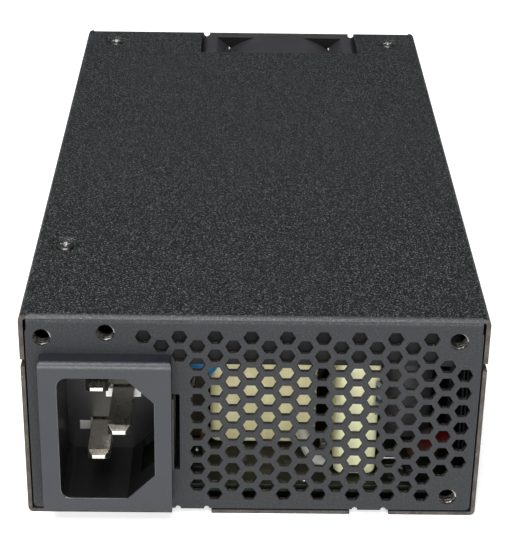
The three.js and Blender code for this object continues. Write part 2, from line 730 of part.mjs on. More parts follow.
// A block with two columns of square cells, open towards +Y.
function outputSocket({ rows }) {
  const halfHeight = socketHeight(rows) / 2;
  const cellHalf = 1.65;
  const cellDepth = 8.5;
  const shell = block(-socketWidth / 2, socketWidth / 2, socketNearY, socketFarY, -halfHeight, halfHeight);
  const cells = [];
  for (const column of [-0.5, 0.5]) {
    for (let row = 0; row < rows; row += 1) {
      const x = column * socketPitch;
      const z = (row - (rows - 1) / 2) * socketPitch;
      cells.push(block(
        x - cellHalf, x + cellHalf, socketFarY - cellDepth, socketFarY + 1, z - cellHalf, z + cellHalf));
    }
  }
  return cut(shell, ...cells);
}

// ---------------------------------------------------------------- materials

function finish(color, roughness = 0.6, metalness = 0) {
  return new THREE.MeshStandardMaterial({ color, roughness, metalness });
}

const powderCoat = finish(0x3a3b3d, 0.55, 0.2);
const screwSteel = finish(0xa9aaab, 0.35, 0.9);
const darkScrew = finish(0x2c2c2e, 0.4, 0.8);
const blackFilm = finish(0x2e2e30, 0.5);
const inletPlastic = finish(0x3f4146, 0.5);
const nickel = finish(0xb9b6ad, 0.25, 1);
const fanPlastic = finish(0x2b2c2e, 0.5);
const guardSteel = finish(0xc4c6c8, 0.25, 1);
const boardGreen = finish(0x1e5a2c, 0.5);
const creamTape = finish(0xe6e0a8, 0.5);
const aluminium = finish(0xb5b7b9, 0.35, 0.9);
const blackPlastic = finish(0x1c1c1d, 0.5);
const copper = finish(0xa2632c, 0.35, 0.8);
const brass = finish(0xb08d4a, 0.4, 0.9);

// ---------------------------------------------------------------- assembly

const group = new THREE.Group();
group.position.y = (inletProud - farProud) / 2;   // centres the object's length on the origin

function add(name, body, material, position = [0, 0, 0], rotation = [0, 0, 0]) {
  const mesh = new THREE.Mesh(geometryOf(body), material);
  mesh.name = name;
  mesh.position.set(...position);
  mesh.rotation.set(...rotation.map(THREE.MathUtils.degToRad));
  group.add(mesh);
}

function addCase() {
  add('cover', cover(), powderCoat);
  add('base_tray', baseTray(), powderCoat);
  add('insulation_film', insulationFilm(), blackFilm);
  const screw = coverScrew();
  for (const [name, { x, y }] of Object.entries(coverScrews)) {
    add(name, screw, darkScrew, [x, y, caseHeight - gap]);
  }
}

function addInlet() {
  add('inlet_housing', inletHousing(), inletPlastic);
  for (const [name, blade] of Object.entries(blades)) {
    add(name, bladeBody(blade), nickel);
  }
  const colours = { line_lead: 0x5a3a22, neutral_lead: 0x2f5fa8, earth_lead: 0x5f8f3a };
  for (const [name, route] of Object.entries(leadRoutes)) {
    add(name, tube(route, leadRadius, 14), finish(colours[name], 0.5));
  }
}

function addFan() {
  const centre = [fanX, 0, fanZ];
  add('fan_frame', fanFrame(), fanPlastic, centre);
  add('fan_rotor', fanRotor(), fanPlastic, centre);
  add('fan_shaft', alongY(rod(1, fanNearY + 2.2, hub.capY - gap, 12)), screwSteel, centre);
  add('fan_bearing', alongY(ring(1.3, 2.4, fanNearY + 1.9, fanNearY + 9.6)), brass, centre);
  add('fan_stator', fanStator(), copper, [fanX, fanNearY + 3, fanZ]);
  add('finger_guard', fingerGuard(), guardSteel, [fanX, guardY, fanZ]);
  const screw = panScrew(2.9, fanScrewHeadHeight, 1.6, 11);
  const half = fanHolePitch / 2;
  corners.forEach(([signX, signZ], k) => {
    const place = [fanX + signX * half, fanScrewHeadY, fanZ + signZ * half];
    add(`fan_screw_${k + 1}`, screw, screwSteel, place, [-90, 0, 0]);
  });
}

function addBoard() {
  add('main_board', mainBoard(), boardGreen);
  const standoff = ring(1.6, 2.6, sheet + gap, boardLowZ - gap, 12);
  const screw = panScrew(2.7, 1.6, 1.25, 3.6);
  boardFixings.forEach(({ x, y }, k) => {
    add(`standoff_${k + 1}`, standoff, screwSteel, [x, y, 0]);
    add(`board_screw_${k + 1}`, screw, screwSteel, [x, y, partSeatZ]);
  });
}

function addMainsParts() {
  const seat = partSeatZ;
  add('filter_choke_block', roundBlock(-8.1, 12.2, -59.7, -49, seat, 30, 1.6), creamTape);
  add('filter_choke_tall', roundBlock(14.7, 22.8, -70.2, -56, seat, 34, 1.8), creamTape);
  add('silicone_blob', can(1.9, 2.6, 12), finish(0xe8e8e4, 0.6), [11.8, -62.2, seat]);
  add('y_capacitor', alongY(can(3.4, 3, 16)), finish(0x1f5f9a, 0.4), [-9.4, -63.2, 24.9]);
  add('filter_capacitor', can(5.1, 27), finish(0x3c3c40, 0.5), [29.5, -52.4, seat]);
  add('varistor', can(4.4, 3.2, 18), finish(0x8a1f1a, 0.4), [32.9, -67.35, 9.75], [-10.4, -29.7, 0]);
  add('fuse', can(2.6, 19, 12), finish(0xd9d6c8, 0.4), [-35.5, -38.3, seat + 2.7], [0, 90, 0]);
  add('bridge_rectifier', block(-36, -16, -34.6, -31.1, seat, 23), blackPlastic);
  add('boost_choke', toroid(11, 5, 10), copper, [-22, -19, seat]);
  add('bulk_capacitor', alongY(can(11, 37, 24)), finish(0x1d2530, 0.4), [4, -46, seat + 11.2]);
}

function addConverterParts() {
  const seat = partSeatZ;
  add('main_transformer', transformer(14, 12.5, 25), creamTape, [-2, 7.5, seat]);
  add('standby_transformer', transformer(6.5, 6.5, 14), creamTape, [22.5, -11.5, seat]);
  add('heat_sink_primary', heatSink(68, 28), aluminium, [sinkX, -61, seat + 0.4]);
  add('heat_sink_output', heatSink(44, 28), aluminium, [-sinkX, 0, seat + 0.4]);
  add('switch_transistor', transistor(), blackPlastic, [sinkX - gap, -32, seat + 3], [0, 0, -90]);
  add('output_transistor', transistor(), blackPlastic, [-sinkX + 1.9, 20, seat + 3], [0, 0, 90]);
  add('output_choke', toroid(8.2, 3.6, 8), copper, [21, 12, seat]);
  [[-22, 31], [-11, 33], [0, 33]].forEach(([x, y], k) => {
    add(`output_capacitor_${k + 1}`, can(4, 15, 16), aluminium, [x, y, seat]);
  });
  add('control_board', block(30.4, 31.6, 12, 44, seat, 27), boardGreen);
}

function addOutput() {
  add('output_board_left', block(-38.4, -16.4, ...outputBoardY, 2.2, 36.4), boardGreen);
  add('output_board_right', block(28.5, 38.4, ...outputBoardY, 2.2, 36.4), boardGreen);
  for (const [name, socket] of Object.entries(sockets)) {
    add(name, outputSocket(socket), blackPlastic, [socket.x, 0, socket.z]);
  }
}

addCase();
addInlet();
addFan();
addBoard();
addMainsParts();
addConverterParts();
addOutput();

export default group;
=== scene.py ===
import json
import math
import random

import bmesh
import bpy
from mathutils import Matrix, Vector

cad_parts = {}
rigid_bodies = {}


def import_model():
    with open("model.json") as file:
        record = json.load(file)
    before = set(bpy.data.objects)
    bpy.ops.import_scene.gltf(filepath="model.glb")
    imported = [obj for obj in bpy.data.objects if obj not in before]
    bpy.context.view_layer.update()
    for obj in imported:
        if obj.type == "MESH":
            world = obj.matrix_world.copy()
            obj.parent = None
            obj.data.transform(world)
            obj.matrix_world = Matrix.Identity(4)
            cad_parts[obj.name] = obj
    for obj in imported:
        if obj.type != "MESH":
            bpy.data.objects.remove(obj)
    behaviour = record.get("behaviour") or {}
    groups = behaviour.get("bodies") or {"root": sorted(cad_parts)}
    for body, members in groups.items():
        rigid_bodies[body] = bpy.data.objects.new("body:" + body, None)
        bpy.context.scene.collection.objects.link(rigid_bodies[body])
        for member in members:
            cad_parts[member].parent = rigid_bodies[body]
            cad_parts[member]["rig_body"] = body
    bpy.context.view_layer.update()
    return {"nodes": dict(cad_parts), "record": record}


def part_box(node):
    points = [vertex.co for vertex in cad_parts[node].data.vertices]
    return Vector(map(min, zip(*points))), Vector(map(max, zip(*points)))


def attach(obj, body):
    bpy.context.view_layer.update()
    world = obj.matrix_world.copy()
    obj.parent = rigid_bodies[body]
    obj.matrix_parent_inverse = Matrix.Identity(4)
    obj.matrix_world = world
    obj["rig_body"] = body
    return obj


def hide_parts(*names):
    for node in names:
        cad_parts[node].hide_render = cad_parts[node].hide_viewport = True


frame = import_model()

# Visual model of a compact computer power supply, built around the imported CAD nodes.
# Lengths are written in millimetres and turned into metres by MM. Places are measured in the
# row frame, in which the rear panel faces -Y and the fan end faces +Y.

MM = 0.001
NODES = frame["nodes"]
SLOT_OF = {entry["node"]: entry["material_slot"] for entry in frame["record"]["subparts"]}


def span(node):
    """A CAD node's box in millimetres, as (low x, high x), (low y, high y), (low z, high z)."""
    low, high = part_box(node)
    return [(low[axis] / MM, high[axis] / MM) for axis in range(3)]


def middle(node):
    return Vector([(low + high) / 2 for low, high in span(node)])


REAR_Y, FAR_Y = span("cover")[1]
CASE_MIDDLE_Y = (REAR_Y + FAR_Y) / 2
CASE_HALF_LENGTH = 75
SHEET = 0.8
FLANGE_HALF_LENGTH = 74.55         # the cover's side flanges, which stop short of its end walls
BOARD_TOP = span("main_board")[2][1]
FAN_CENTRE = middle("fan_frame")

# Tapped holes of the rear panel, as x and z.
MOUNT_HOLES = [(-36.73, 36.42), (-25.72, 37.43), (35.39, 36.32), (35.4, 4.04)]
HOLE_RADIUS = 1.65
COLLAR_DEPTH = 2.6
THREAD_PITCH = 0.79

# Camera: its place, the directions that it faces and its lens.
CAMERA_PLACE = Vector((-3.58, CASE_MIDDLE_Y - 326.4, 178.3)) * MM
CAMERA_PITCH = math.radians(27.13)
CAMERA_YAW = math.radians(0.69)
CAMERA_ROLL = math.radians(0.91)
CAMERA_LENS = 110.7


# ---------------- camera, light and floor

def make_camera():
    forward = Vector((math.sin(CAMERA_YAW) * math.cos(CAMERA_PITCH),
                      math.cos(CAMERA_YAW) * math.cos(CAMERA_PITCH),
                      -math.sin(CAMERA_PITCH)))
    level = Vector((math.cos(CAMERA_YAW), -math.sin(CAMERA_YAW), 0))
    upward = level.cross(forward)
    right = level * math.cos(CAMERA_ROLL) + upward * math.sin(CAMERA_ROLL)
    up = upward * math.cos(CAMERA_ROLL) - level * math.sin(CAMERA_ROLL)
    data = bpy.data.cameras.new("camera")
    data.lens = CAMERA_LENS
    data.sensor_width = 36
    data.clip_start = 0.01
    data.clip_end = 20
    camera = bpy.data.objects.new("camera", data)
    bpy.context.collection.objects.link(camera)
    axes = Matrix((right, up, -forward)).transposed().to_4x4()
    camera.matrix_world = Matrix.Translation(CAMERA_PLACE) @ axes
    bpy.context.scene.camera = camera


def area_light(name, place, target, size, power):
    data = bpy.data.lights.new(name, "AREA")
    data.shape = "RECTANGLE"
    data.size = size[0]
    data.size_y = size[1]
    data.energy = power
    light = bpy.data.objects.new(name, data)
    bpy.context.collection.objects.link(light)
    light.location = place
    light.rotation_mode = "QUATERNION"
    light.rotation_quaternion = (Vector(target) - Vector(place)).to_track_quat("-Z", "Y")


def make_studio():
    world = bpy.data.worlds.new("studio")
    world.use_nodes = True
    background = world.node_tree.nodes["Background"]
    background.inputs["Color"].default_value = (0.97, 0.98, 1, 1)
    background.inputs["Strength"].default_value = 0.13
    bpy.context.scene.world = world
    area_light("key", (-0.3, -0.42, 1.25), (0, -0.05, 0), (0.9, 1.0), 19)
    area_light("front_fill", (0.1, -1.35, 0.5), (0, -0.06, 0.02), (1.4, 0.7), 25)
    area_light("back_wash", (0, 1.6, 0.95), (0, 0.1, 0), (1.8, 0.6), 0.3)

    mesh = bpy.data.meshes.new("floor")
    half = 4.0
    mesh.from_pydata([(-half, -half, 0), (half, -half, 0), (half, half, 0), (-half, half, 0)],
                     [], [(0, 1, 2, 3)])
    floor = bpy.data.objects.new("floor", mesh)
    bpy.context.collection.objects.link(floor)
    paint = bpy.data.materials.new("floor_paint")
    paint.use_nodes = True
    bsdf = paint.node_tree.nodes["Principled BSDF"]
    bsdf.inputs["Base Color"].default_value = (0.95, 0.95, 0.95, 1)
    bsdf.inputs["Roughness"].default_value = 0.8
    bsdf.inputs["Specular IOR Level"].default_value = 0.1
    bsdf.inputs["Emission Color"].default_value = (1, 1, 1, 1)
    bsdf.inputs["Emission Strength"].default_value = 0.4
    mesh.materials.append(paint)
    bpy.context.scene.view_settings.view_transform = "Standard"


# ---------------- materials

WAVE_PERIOD = 0.314                # length of one band of the wave texture at scale 1


class Paint:
    """A material under construction: a principled shader fed by textures in object space."""

    def __init__(self, name, roughness=0.5, metallic=0.0, specular=0.5, coat=0.0, coat_roughness=0.1):
        self.material = bpy.data.materials.new(name)
        self.material.use_nodes = True
        self.tree = self.material.node_tree
        self.bsdf = self.tree.nodes["Principled BSDF"]
        self.bsdf.inputs["Roughness"].default_value = roughness
        self.bsdf.inputs["Metallic"].default_value = metallic
        self.bsdf.inputs["Specular IOR Level"].default_value = specular
        self.bsdf.inputs["Coat Weight"].default_value = coat
        self.bsdf.inputs["Coat Roughness"].default_value = coat_roughness
        self.place = self.tree.nodes.new("ShaderNodeTexCoord").outputs["Object"]

    def node(self, kind, **settings):
        made = self.tree.nodes.new(kind)
        for key, value in settings.items():
            setattr(made, key, value)
        return made

    def link(self, source, target):
        self.tree.links.new(source, target)

    def stretched(self, x, y, z):
        mapping = self.node("ShaderNodeMapping")
        mapping.inputs["Scale"].default_value = (x, y, z)
        self.link(self.place, mapping.inputs["Vector"])
        return mapping.outputs["Vector"]

    def noise(self, size_mm, detail=3.0, vector=None, roughness=0.5):
        made = self.node("ShaderNodeTexNoise")
        made.inputs["Scale"].default_value = 1.0 / (size_mm * MM)
        made.inputs["Detail"].default_value = detail
        made.inputs["Roughness"].default_value = roughness
        self.link(vector or self.place, made.inputs["Vector"])
        return made.outputs["Fac"]

    def wave(self, size_mm, direction="Z", distortion=0.0, vector=None):
        made = self.node("ShaderNodeTexWave", wave_type="BANDS", bands_direction=direction)
        made.inputs["Scale"].default_value = WAVE_PERIOD / (size_mm * MM)
        made.inputs["Distortion"].default_value = distortion
        self.link(vector or self.place, made.inputs["Vector"])
        return made.outputs["Fac"]

    def between(self, factor, low, high, start=0.0, end=1.0):
        made = self.node("ShaderNodeMapRange")
        made.inputs["From Min"].default_value = start
        made.inputs["From Max"].default_value = end
        made.inputs["To Min"].default_value = low
        made.inputs["To Max"].default_value = high
        self.link(factor, made.inputs["Value"])
        return made.outputs["Result"]

    def mix(self, factor, first, second):
        made = self.node("ShaderNodeMix", data_type="RGBA")
        self.link(factor, made.inputs[0])
        for socket, value in ((made.inputs[6], first), (made.inputs[7], second)):
            if isinstance(value, tuple):
                socket.default_value = (*value, 1)
            else:
                self.link(value, socket)
        return made.outputs[2]

    def math(self, operation, first, second):
        made = self.node("ShaderNodeMath", operation=operation)
        for socket, value in zip(made.inputs, (first, second)):
            if isinstance(value, (int, float)):
                socket.default_value = value
            else:
                self.link(value, socket)
        return made.outputs[0]

    def color(self, source):
        self.link(source, self.bsdf.inputs["Base Color"])

    def roughness(self, source):
        self.link(source, self.bsdf.inputs["Roughness"])

    def bump(self, height, depth_mm, strength=1.0):
        made = self.node("ShaderNodeBump")
        made.inputs["Distance"].default_value = depth_mm * MM
        made.inputs["Strength"].default_value = strength
        self.link(height, made.inputs["Height"])
        last = self.bsdf.inputs["Normal"]
        if last.is_linked:
            self.link(last.links[0].from_socket, made.inputs["Normal"])
        self.link(made.outputs["Normal"], last)


def powder_coat(name, dark, light, speck, depth_mm, specular=0.3, gloss_range=(0.35, 0.7)):
    """Black powder coat: raised grains, the highest of which are painted as sparse light specks, partly the
    coat's own grain and partly painted glints.
    """
    paint = Paint(name, specular=specular)
    grain = paint.noise(0.33, 2, roughness=0.6)
    fine = paint.noise(0.19, 1)
    clouds = paint.noise(16, 2)
    height = paint.math("ADD", paint.math("MULTIPLY", grain, 0.65), paint.math("MULTIPLY", fine, 0.35))
    body = paint.mix(paint.between(height, 0, 1, 0.42, 0.57), dark, light)
    # painted glints: the highest grains take the speck tone
    paint.color(paint.mix(paint.between(height, 0, 1, 0.56, 0.66), body, speck))
    gloss = paint.between(grain, 0.62, 0.4, *gloss_range)
    paint.roughness(paint.math("ADD", gloss, paint.between(clouds, -0.05, 0.05)))
    paint.bump(height, depth_mm, 0.9)
    return paint.material


def cut_edge():
    """Bare cut edge of coated sheet: a thin brownish skin with patches of dull steel."""
    paint = Paint("cut_edge", specular=0.4)
    grain = paint.noise(0.3, 3)
    patches = paint.noise(2.4, 2)
    tone = paint.mix(paint.between(patches, 0, 1, 0.35, 0.65), (0.02, 0.0165, 0.014), (0.055, 0.043, 0.034))
    paint.color(paint.mix(paint.between(grain, 0, 0.8, 0.62, 0.72), tone, (0.17, 0.14, 0.115)))
    paint.roughness(paint.between(grain, 0.35, 0.6))
    paint.bump(grain, 0.03, 0.6)
    return paint.material


def film_with_painted_shade():
    """Matt black film with painted shade: darker along its upper part, where the cover's top shades it, and
    greyer further down.
    """
    paint = Paint("film", specular=0.2)
    parts = paint.node("ShaderNodeSeparateXYZ")
    paint.link(paint.place, parts.inputs["Vector"])
    haze = paint.noise(3, 3)
    # painted shade: the colour darkens with height, standing in for the shade under the cover's top
    height = paint.math("ADD", parts.outputs["Z"], paint.between(haze, -0.001, 0.001))
    paint.color(paint.mix(paint.between(height, 1, 0, 0.030, 0.0375), (0.0015, 0.0014, 0.0014),
                          (0.0115, 0.0112, 0.012)))
    paint.roughness(paint.between(haze, 0.55, 0.75))
    paint.bump(haze, 0.02, 0.5)
    return paint.material


def punched_wall():
    """Wall of a punched hole: dark coat broken by tiny bright specks of bare steel."""
    paint = Paint("punched_wall", specular=0.35)
    grain = paint.noise(0.16, 2)
    specks = paint.between(grain, 0, 1, 0.62, 0.7)
    paint.color(paint.mix(specks, (0.009, 0.008, 0.0075), (0.3, 0.27, 0.23)))
    paint.roughness(paint.between(grain, 0.65, 0.3, 0.3, 0.75))
    paint.bump(grain, 0.04, 0.8)
    return paint.material


def moulded(name, dark, light, roughness=0.42, grain_mm=0.3, depth_mm=0.012, specular=0.45):
    """Moulded plastic with a spark-eroded texture and slight flow clouds."""
    paint = Paint(name, specular=specular)
    grain = paint.noise(grain_mm, 3)
    flow = paint.noise(9, 2)
    paint.color(paint.mix(paint.between(flow, 0, 1, 0.3, 0.7), dark, light))
    paint.roughness(paint.math("ADD", paint.between(grain, roughness - 0.07, roughness + 0.09),
                               paint.between(flow, -0.03, 0.03)))
    paint.bump(grain, depth_mm, 0.8)
    return paint.material


def plated(name, tone, roughness, shade=0.62, stretch=(1, 0.2, 1)):
    """Plated metal with fine drawing streaks and faint stains."""
    paint = Paint(name, metallic=1.0)
    streaks = paint.noise(0.4, 3, paint.stretched(*stretch))
    stains = paint.noise(1.3, 3)
    darker = tuple(channel * shade for channel in tone)
    paint.color(paint.mix(paint.between(stains, 0, 1, 0.35, 0.7), darker, tone))
    paint.roughness(paint.math("ADD", paint.between(streaks, roughness - 0.08, roughness + 0.12),
                               paint.between(stains, -0.04, 0.05)))
    paint.bump(streaks, 0.01, 0.4)
    return paint.material


def circuit_board():
    """Green solder mask over copper: faint lighter tracks, glass weave and dull flux stains."""
    paint = Paint("circuit_board", specular=0.3)
    tracks = paint.wave(2.2, "X", 2.2)
    weave = paint.math("MULTIPLY", paint.wave(0.5, "X"), paint.wave(0.5, "Y"))
    copper = paint.between(tracks, 0, 1, 0.48, 0.56)
    # painted shade: the mask tones are darkened to near black for the deep shade over the board behind the
    # vents
    mask = paint.mix(copper, (0.0035, 0.0075, 0.0042), (0.006, 0.012, 0.0065))
    stains = paint.between(paint.noise(6, 3), 0, 0.7, 0.42, 0.6)
    paint.color(paint.mix(stains, mask, (0.009, 0.0088, 0.006)))
    paint.roughness(paint.between(paint.noise(1.2, 3), 0.4, 0.6))
    paint.bump(tracks, 0.03, 0.4)
    paint.bump(weave, 0.01, 0.3)
    return paint.material


def cream_tape(name, dark, light):
    """Yellow polyester tape: faint wrinkles, lapped edges and darker stains."""
    paint = Paint(name, specular=0.45, coat=0.2, coat_roughness=0.3)
    stains = paint.noise(4, 3)
    wrinkles = paint.noise(2.2, 3, paint.stretched(1, 1, 0.3))
    scuffs = paint.noise(0.7, 3)
    tone = paint.mix(paint.between(stains, 0, 1, 0.35, 0.65), dark, light)
    paint.color(paint.mix(paint.between(scuffs, 0, 0.5, 0.66, 0.8), tone, (0.36, 0.3, 0.14)))
    paint.roughness(paint.between(wrinkles, 0.3, 0.55))
    paint.bump(wrinkles, 0.35, 0.5)
    paint.bump(scuffs, 0.03, 0.4)
    return paint.material


def striped_label():
    """A small pale label with dark printed bars."""
    paint = Paint("label", specular=0.4)
    bars = paint.between(paint.wave(1.1, "DIAGONAL"), 0, 1, 0.45, 0.55)
    wear = paint.noise(0.8, 3)
    paint.color(paint.mix(bars, (0.02, 0.026, 0.032), (0.15, 0.18, 0.2)))
    paint.roughness(paint.between(wear, 0.35, 0.6))
    paint.bump(wear, 0.03, 0.5)
    return paint.material


def sleeve(name, dark, light, roughness=0.3):
    """Shrink sleeve or dipped resin: glossy skin with shallow waves."""
    paint = Paint(name, specular=0.5, coat=0.25, coat_roughness=0.2)
    waves = paint.noise(2.5, 2)
    fine = paint.noise(0.35, 3)
    paint.color(paint.mix(paint.between(waves, 0, 1, 0.3, 0.7), dark, light))
    paint.roughness(paint.between(fine, roughness - 0.08, roughness + 0.12))
    paint.bump(waves, 0.2, 0.35)
    paint.bump(fine, 0.01, 0.4)
    return paint.material


# Dark and light tone, tone of the highest grains, depth in millimetres, specular level, gloss range.
COATS = {
    "powder_coat": ((0.0108, 0.0115, 0.0135), (0.0155, 0.0163, 0.019), (0.03, 0.031, 0.034), 0.02),
    # the top's copy of the coat: painted darker as painted shade, with bright specks as painted glints
    "coat_top": ((0.0006, 0.0007, 0.0008), (0.0215, 0.024, 0.0246), (0.18, 0.193, 0.195), 0.07),
    # the bend's copy of the coat: painted lighter along the rear bend, a painted highlight
    "coat_bend": ((0.012, 0.0128, 0.015), (0.03, 0.032, 0.035), (0.08, 0.083, 0.09), 0.03, 0.62,
                  (0.2, 0.85)),
}

# Dark and light tone, roughness, grain in millimetres, depth in millimetres, specular level.
MOULDINGS = {
    "inlet_plastic": ((0.0088, 0.0098, 0.0134), (0.012, 0.0132, 0.0178), 0.36, 0.36, 0.075, 0.55),
    # the inlet plastic painted near black inside the cavity, as painted shade
    "inlet_deep": ((0.003, 0.003, 0.0033), (0.0055, 0.0055, 0.006), 0.32, 0.28, 0.02, 0.4),
    # the inlet plastic painted lighter on the mouth's bead, a painted highlight
    "polished_rim": ((0.03, 0.03, 0.032), (0.06, 0.06, 0.063), 0.2, 0.4, 0.03, 0.8),
    "fan_plastic": ((0.022, 0.022, 0.024), (0.03, 0.03, 0.0325), 0.33, 0.3, 0.02, 0.55),
    # the fan plastic painted near black in the grooves, as painted shade
    "groove_plastic": ((0.002, 0.002, 0.0022), (0.004, 0.004, 0.0045), 0.6, 0.3, 0.02, 0.1),
    "black_plastic": ((0.008, 0.008, 0.009), (0.018, 0.018, 0.019), 0.38),
    "ceramic": ((0.62, 0.6, 0.53), (0.75, 0.73, 0.67), 0.55, 0.2, 0.02),
    "white_board": ((0.75, 0.75, 0.73), (0.88, 0.88, 0.86), 0.6, 0.4, 0.03),
    "speckled_plate": ((0.12, 0.115, 0.105), (0.3, 0.29, 0.27), 0.6, 0.25, 0.05),
    "phenolic": ((0.014, 0.0105, 0.004), (0.024, 0.018, 0.007), 0.5, 0.6, 0.03, 0.3),
}

# Tone, roughness, share of the tone that is left in a stain, stretch of the drawing streaks.
METALS = {
    "dark_screw": ((0.22, 0.215, 0.21), 0.33, 0.45),
    "thread_metal": ((0.6, 0.57, 0.53), 0.32, 0.3),
    "screw_steel": ((0.66, 0.66, 0.67), 0.3),
    "brass": ((0.66, 0.48, 0.2), 0.35),
    "nickel": ((0.72, 0.68, 0.6), 0.27, 0.88),
    "copper": ((0.72, 0.3, 0.11), 0.3, 0.5, (1, 1, 0.3)),
    "guard_wire": ((0.8, 0.8, 0.81), 0.2, 0.8),
    "aluminium": ((0.74, 0.75, 0.76), 0.3),
    "black_anodised": ((0.03, 0.03, 0.031), 0.45, 0.5),
}

# Dark and light tone, roughness.
SLEEVES = {
    "brown_wire": ((0.08, 0.03, 0.012), (0.12, 0.05, 0.02)),
    "blue_wire": ((0.01, 0.06, 0.28), (0.02, 0.1, 0.38)),
    "green_wire": ((0.05, 0.2, 0.03), (0.1, 0.32, 0.05)),
    "silicone": ((0.5, 0.5, 0.48), (0.72, 0.72, 0.7), 0.4),
    "blue_resin": ((0.005, 0.12, 0.3), (0.01, 0.19, 0.42)),
    # red_resin: painted shade, the red darkened for the shade deep behind the vents
    "red_resin": ((0.055, 0.003, 0.0025), (0.09, 0.006, 0.004)),
    "grey_sleeve": ((0.045, 0.045, 0.049), (0.062, 0.062, 0.066), 0.4),
}

# Dark and light tone.
TAPES = {
    "cream_tape": ((0.72, 0.66, 0.36), (0.86, 0.82, 0.5)),
    "pale_tape": ((0.9, 0.89, 0.52), (0.97, 0.97, 0.63)),
}


def make_materials():
    """Every material by name: one for each slot of the record, and some looks that pieces share."""
    looks = {"cut_edge": cut_edge(), "punched_wall": punched_wall(), "film": film_with_painted_shade(),
             "circuit_board": circuit_board(), "label": striped_label()}
    for maker, table in ((powder_coat, COATS), (moulded, MOULDINGS), (plated, METALS),
                         (sleeve, SLEEVES), (cream_tape, TAPES)):
        for name, settings in table.items():
            looks[name] = maker(name, *settings)
    return looks


# ---------------- shapes

def box_shape(x, y, z):
    """A block from its ranges in millimetres."""
    shape = bmesh.new()
    bmesh.ops.create_cube(shape, size=MM)
    size = Vector((x[1] - x[0], y[1] - y[0], z[1] - z[0]))
    centre = Vector((x[0] + x[1], y[0] + y[1], z[0] + z[1])) * (MM / 2)
    bmesh.ops.scale(shape, vec=size, verts=shape.verts)
    bmesh.ops.translate(shape, vec=centre, verts=shape.verts)
    return shape


def prism(outline, low, high, axis="Y"):
    """An outline extruded along an axis. The outline's two values are the other two axes, in order."""
    shape = bmesh.new()
    order = {"X": (2, 0, 1), "Y": (0, 2, 1), "Z": (0, 1, 2)}[axis]
    loops = []
    for level in (low, high):
        points = [(u, v, level) for u, v in outline]
        loops.append([shape.verts.new([point[k] * MM for k in order]) for point in points])
    shape.faces.new(loops[0])
    shape.faces.new(reversed(loops[1]))
    for k in range(len(outline)):
        n = (k + 1) % len(outline)
        shape.faces.new((loops[0][k], loops[1][k], loops[1][n], loops[0][n]))
    bmesh.ops.recalc_face_normals(shape, faces=shape.faces)
    return shape


def lathe(profile, segments=48, axis="Z", place=(0, 0, 0)):
    """A closed profile of (radius, height) pairs turned about an axis through a place."""
    shape = bmesh.new()
    rings = []
    for k in range(segments):
        angle = 2 * math.pi * k / segments
        rings.append([shape.verts.new((r * MM * math.cos(angle), r * MM * math.sin(angle), h * MM))
                      for r, h in profile])
    count = len(profile)
    for k in range(segments):
        near, far = rings[k], rings[(k + 1) % segments]
        for j in range(count):
            n = (j + 1) % count
            shape.faces.new((near[j], far[j], far[n], near[n]))
    bmesh.ops.remove_doubles(shape, verts=shape.verts, dist=0.0005 * MM)
    bmesh.ops.dissolve_degenerate(shape, edges=shape.edges, dist=0.0005 * MM)
    bmesh.ops.recalc_face_normals(shape, faces=shape.faces)
    turn = {"Z": Matrix(), "Y": Matrix.Rotation(-math.pi / 2, 4, "X"),
            "X": Matrix.Rotation(math.pi / 2, 4, "Y")}[axis]
    shape.transform(Matrix.Translation(Vector(place) * MM) @ turn)
    return shape


def rod(radius, low, high, segments=32, axis="Z", place=(0, 0, 0)):
    return lathe([(0, low), (radius, low), (radius, high), (0, high)], segments, axis, place)


def lofted(rings):
    """A skin over rings of points in millimetres, closed at both ends."""
    shape = bmesh.new()
    rows = [[shape.verts.new(Vector(point) * MM) for point in ring] for ring in rings]
    count = len(rows[0])
    for first, second in zip(rows, rows[1:]):
        for j in range(count):
            n = (j + 1) % count
            shape.faces.new((first[j], second[j], second[n], first[n]))
    shape.faces.new(rows[0])
    shape.faces.new(reversed(rows[-1]))
    bmesh.ops.recalc_face_normals(shape, faces=shape.faces)
    return shape


def tube(points, radius, sides=12):
    """A round tube along points in millimetres, with flat ends."""
    path = [Vector(p) for p in points]
    side = Vector((0, 0, 1))
    rings = []
    for k, point in enumerate(path):
        ahead = path[min(k + 1, len(path) - 1)] - path[max(k - 1, 0)]
        ahead.normalize()
        side = side - ahead * side.dot(ahead)
        side = side.normalized() if side.length > 1e-6 else ahead.orthogonal().normalized()
        other = ahead.cross(side)
        rings.append([point + (side * math.cos(a) + other * math.sin(a)) * radius
                      for a in (2 * math.pi * j / sides for j in range(sides))])
    return lofted(rings)


def tapered_bar(x, y, z, inset, length, low_end=True):
    """A bar along Y, one end of which narrows by an inset in x and in z."""
    low, high = y
    if low_end:
        stations = [(low, 1), (low + length, 0), (high, 0)]
    else:
        stations = [(low, 0), (high - length, 0), (high, 1)]
    rings = []
    for place, share in stations:
        u, v = inset[0] * share, inset[1] * share
        rings.append([(x[0] + u, place, z[0] + v), (x[1] - u, place, z[0] + v),
                      (x[1] - u, place, z[1] - v), (x[0] + u, place, z[1] - v)])
    return soften(lofted(rings), 0.07, 20, 2)


def smooth_path(points, steps=8):
    """Points on a smooth curve through the given ones."""
    path = []
    knots = [Vector(p) for p in points]
    knots = [2 * knots[0] - knots[1], *knots, 2 * knots[-1] - knots[-2]]
    for a, b, c, d in zip(knots, knots[1:], knots[2:], knots[3:]):
        for k in range(steps):
            t = k / steps
            path.append(0.5 * (2 * b + (c - a) * t + (2 * a - 5 * b + 4 * c - d) * t * t
                               + (3 * b - a - 3 * c + d) * t ** 3))
    return path + [knots[-2]]


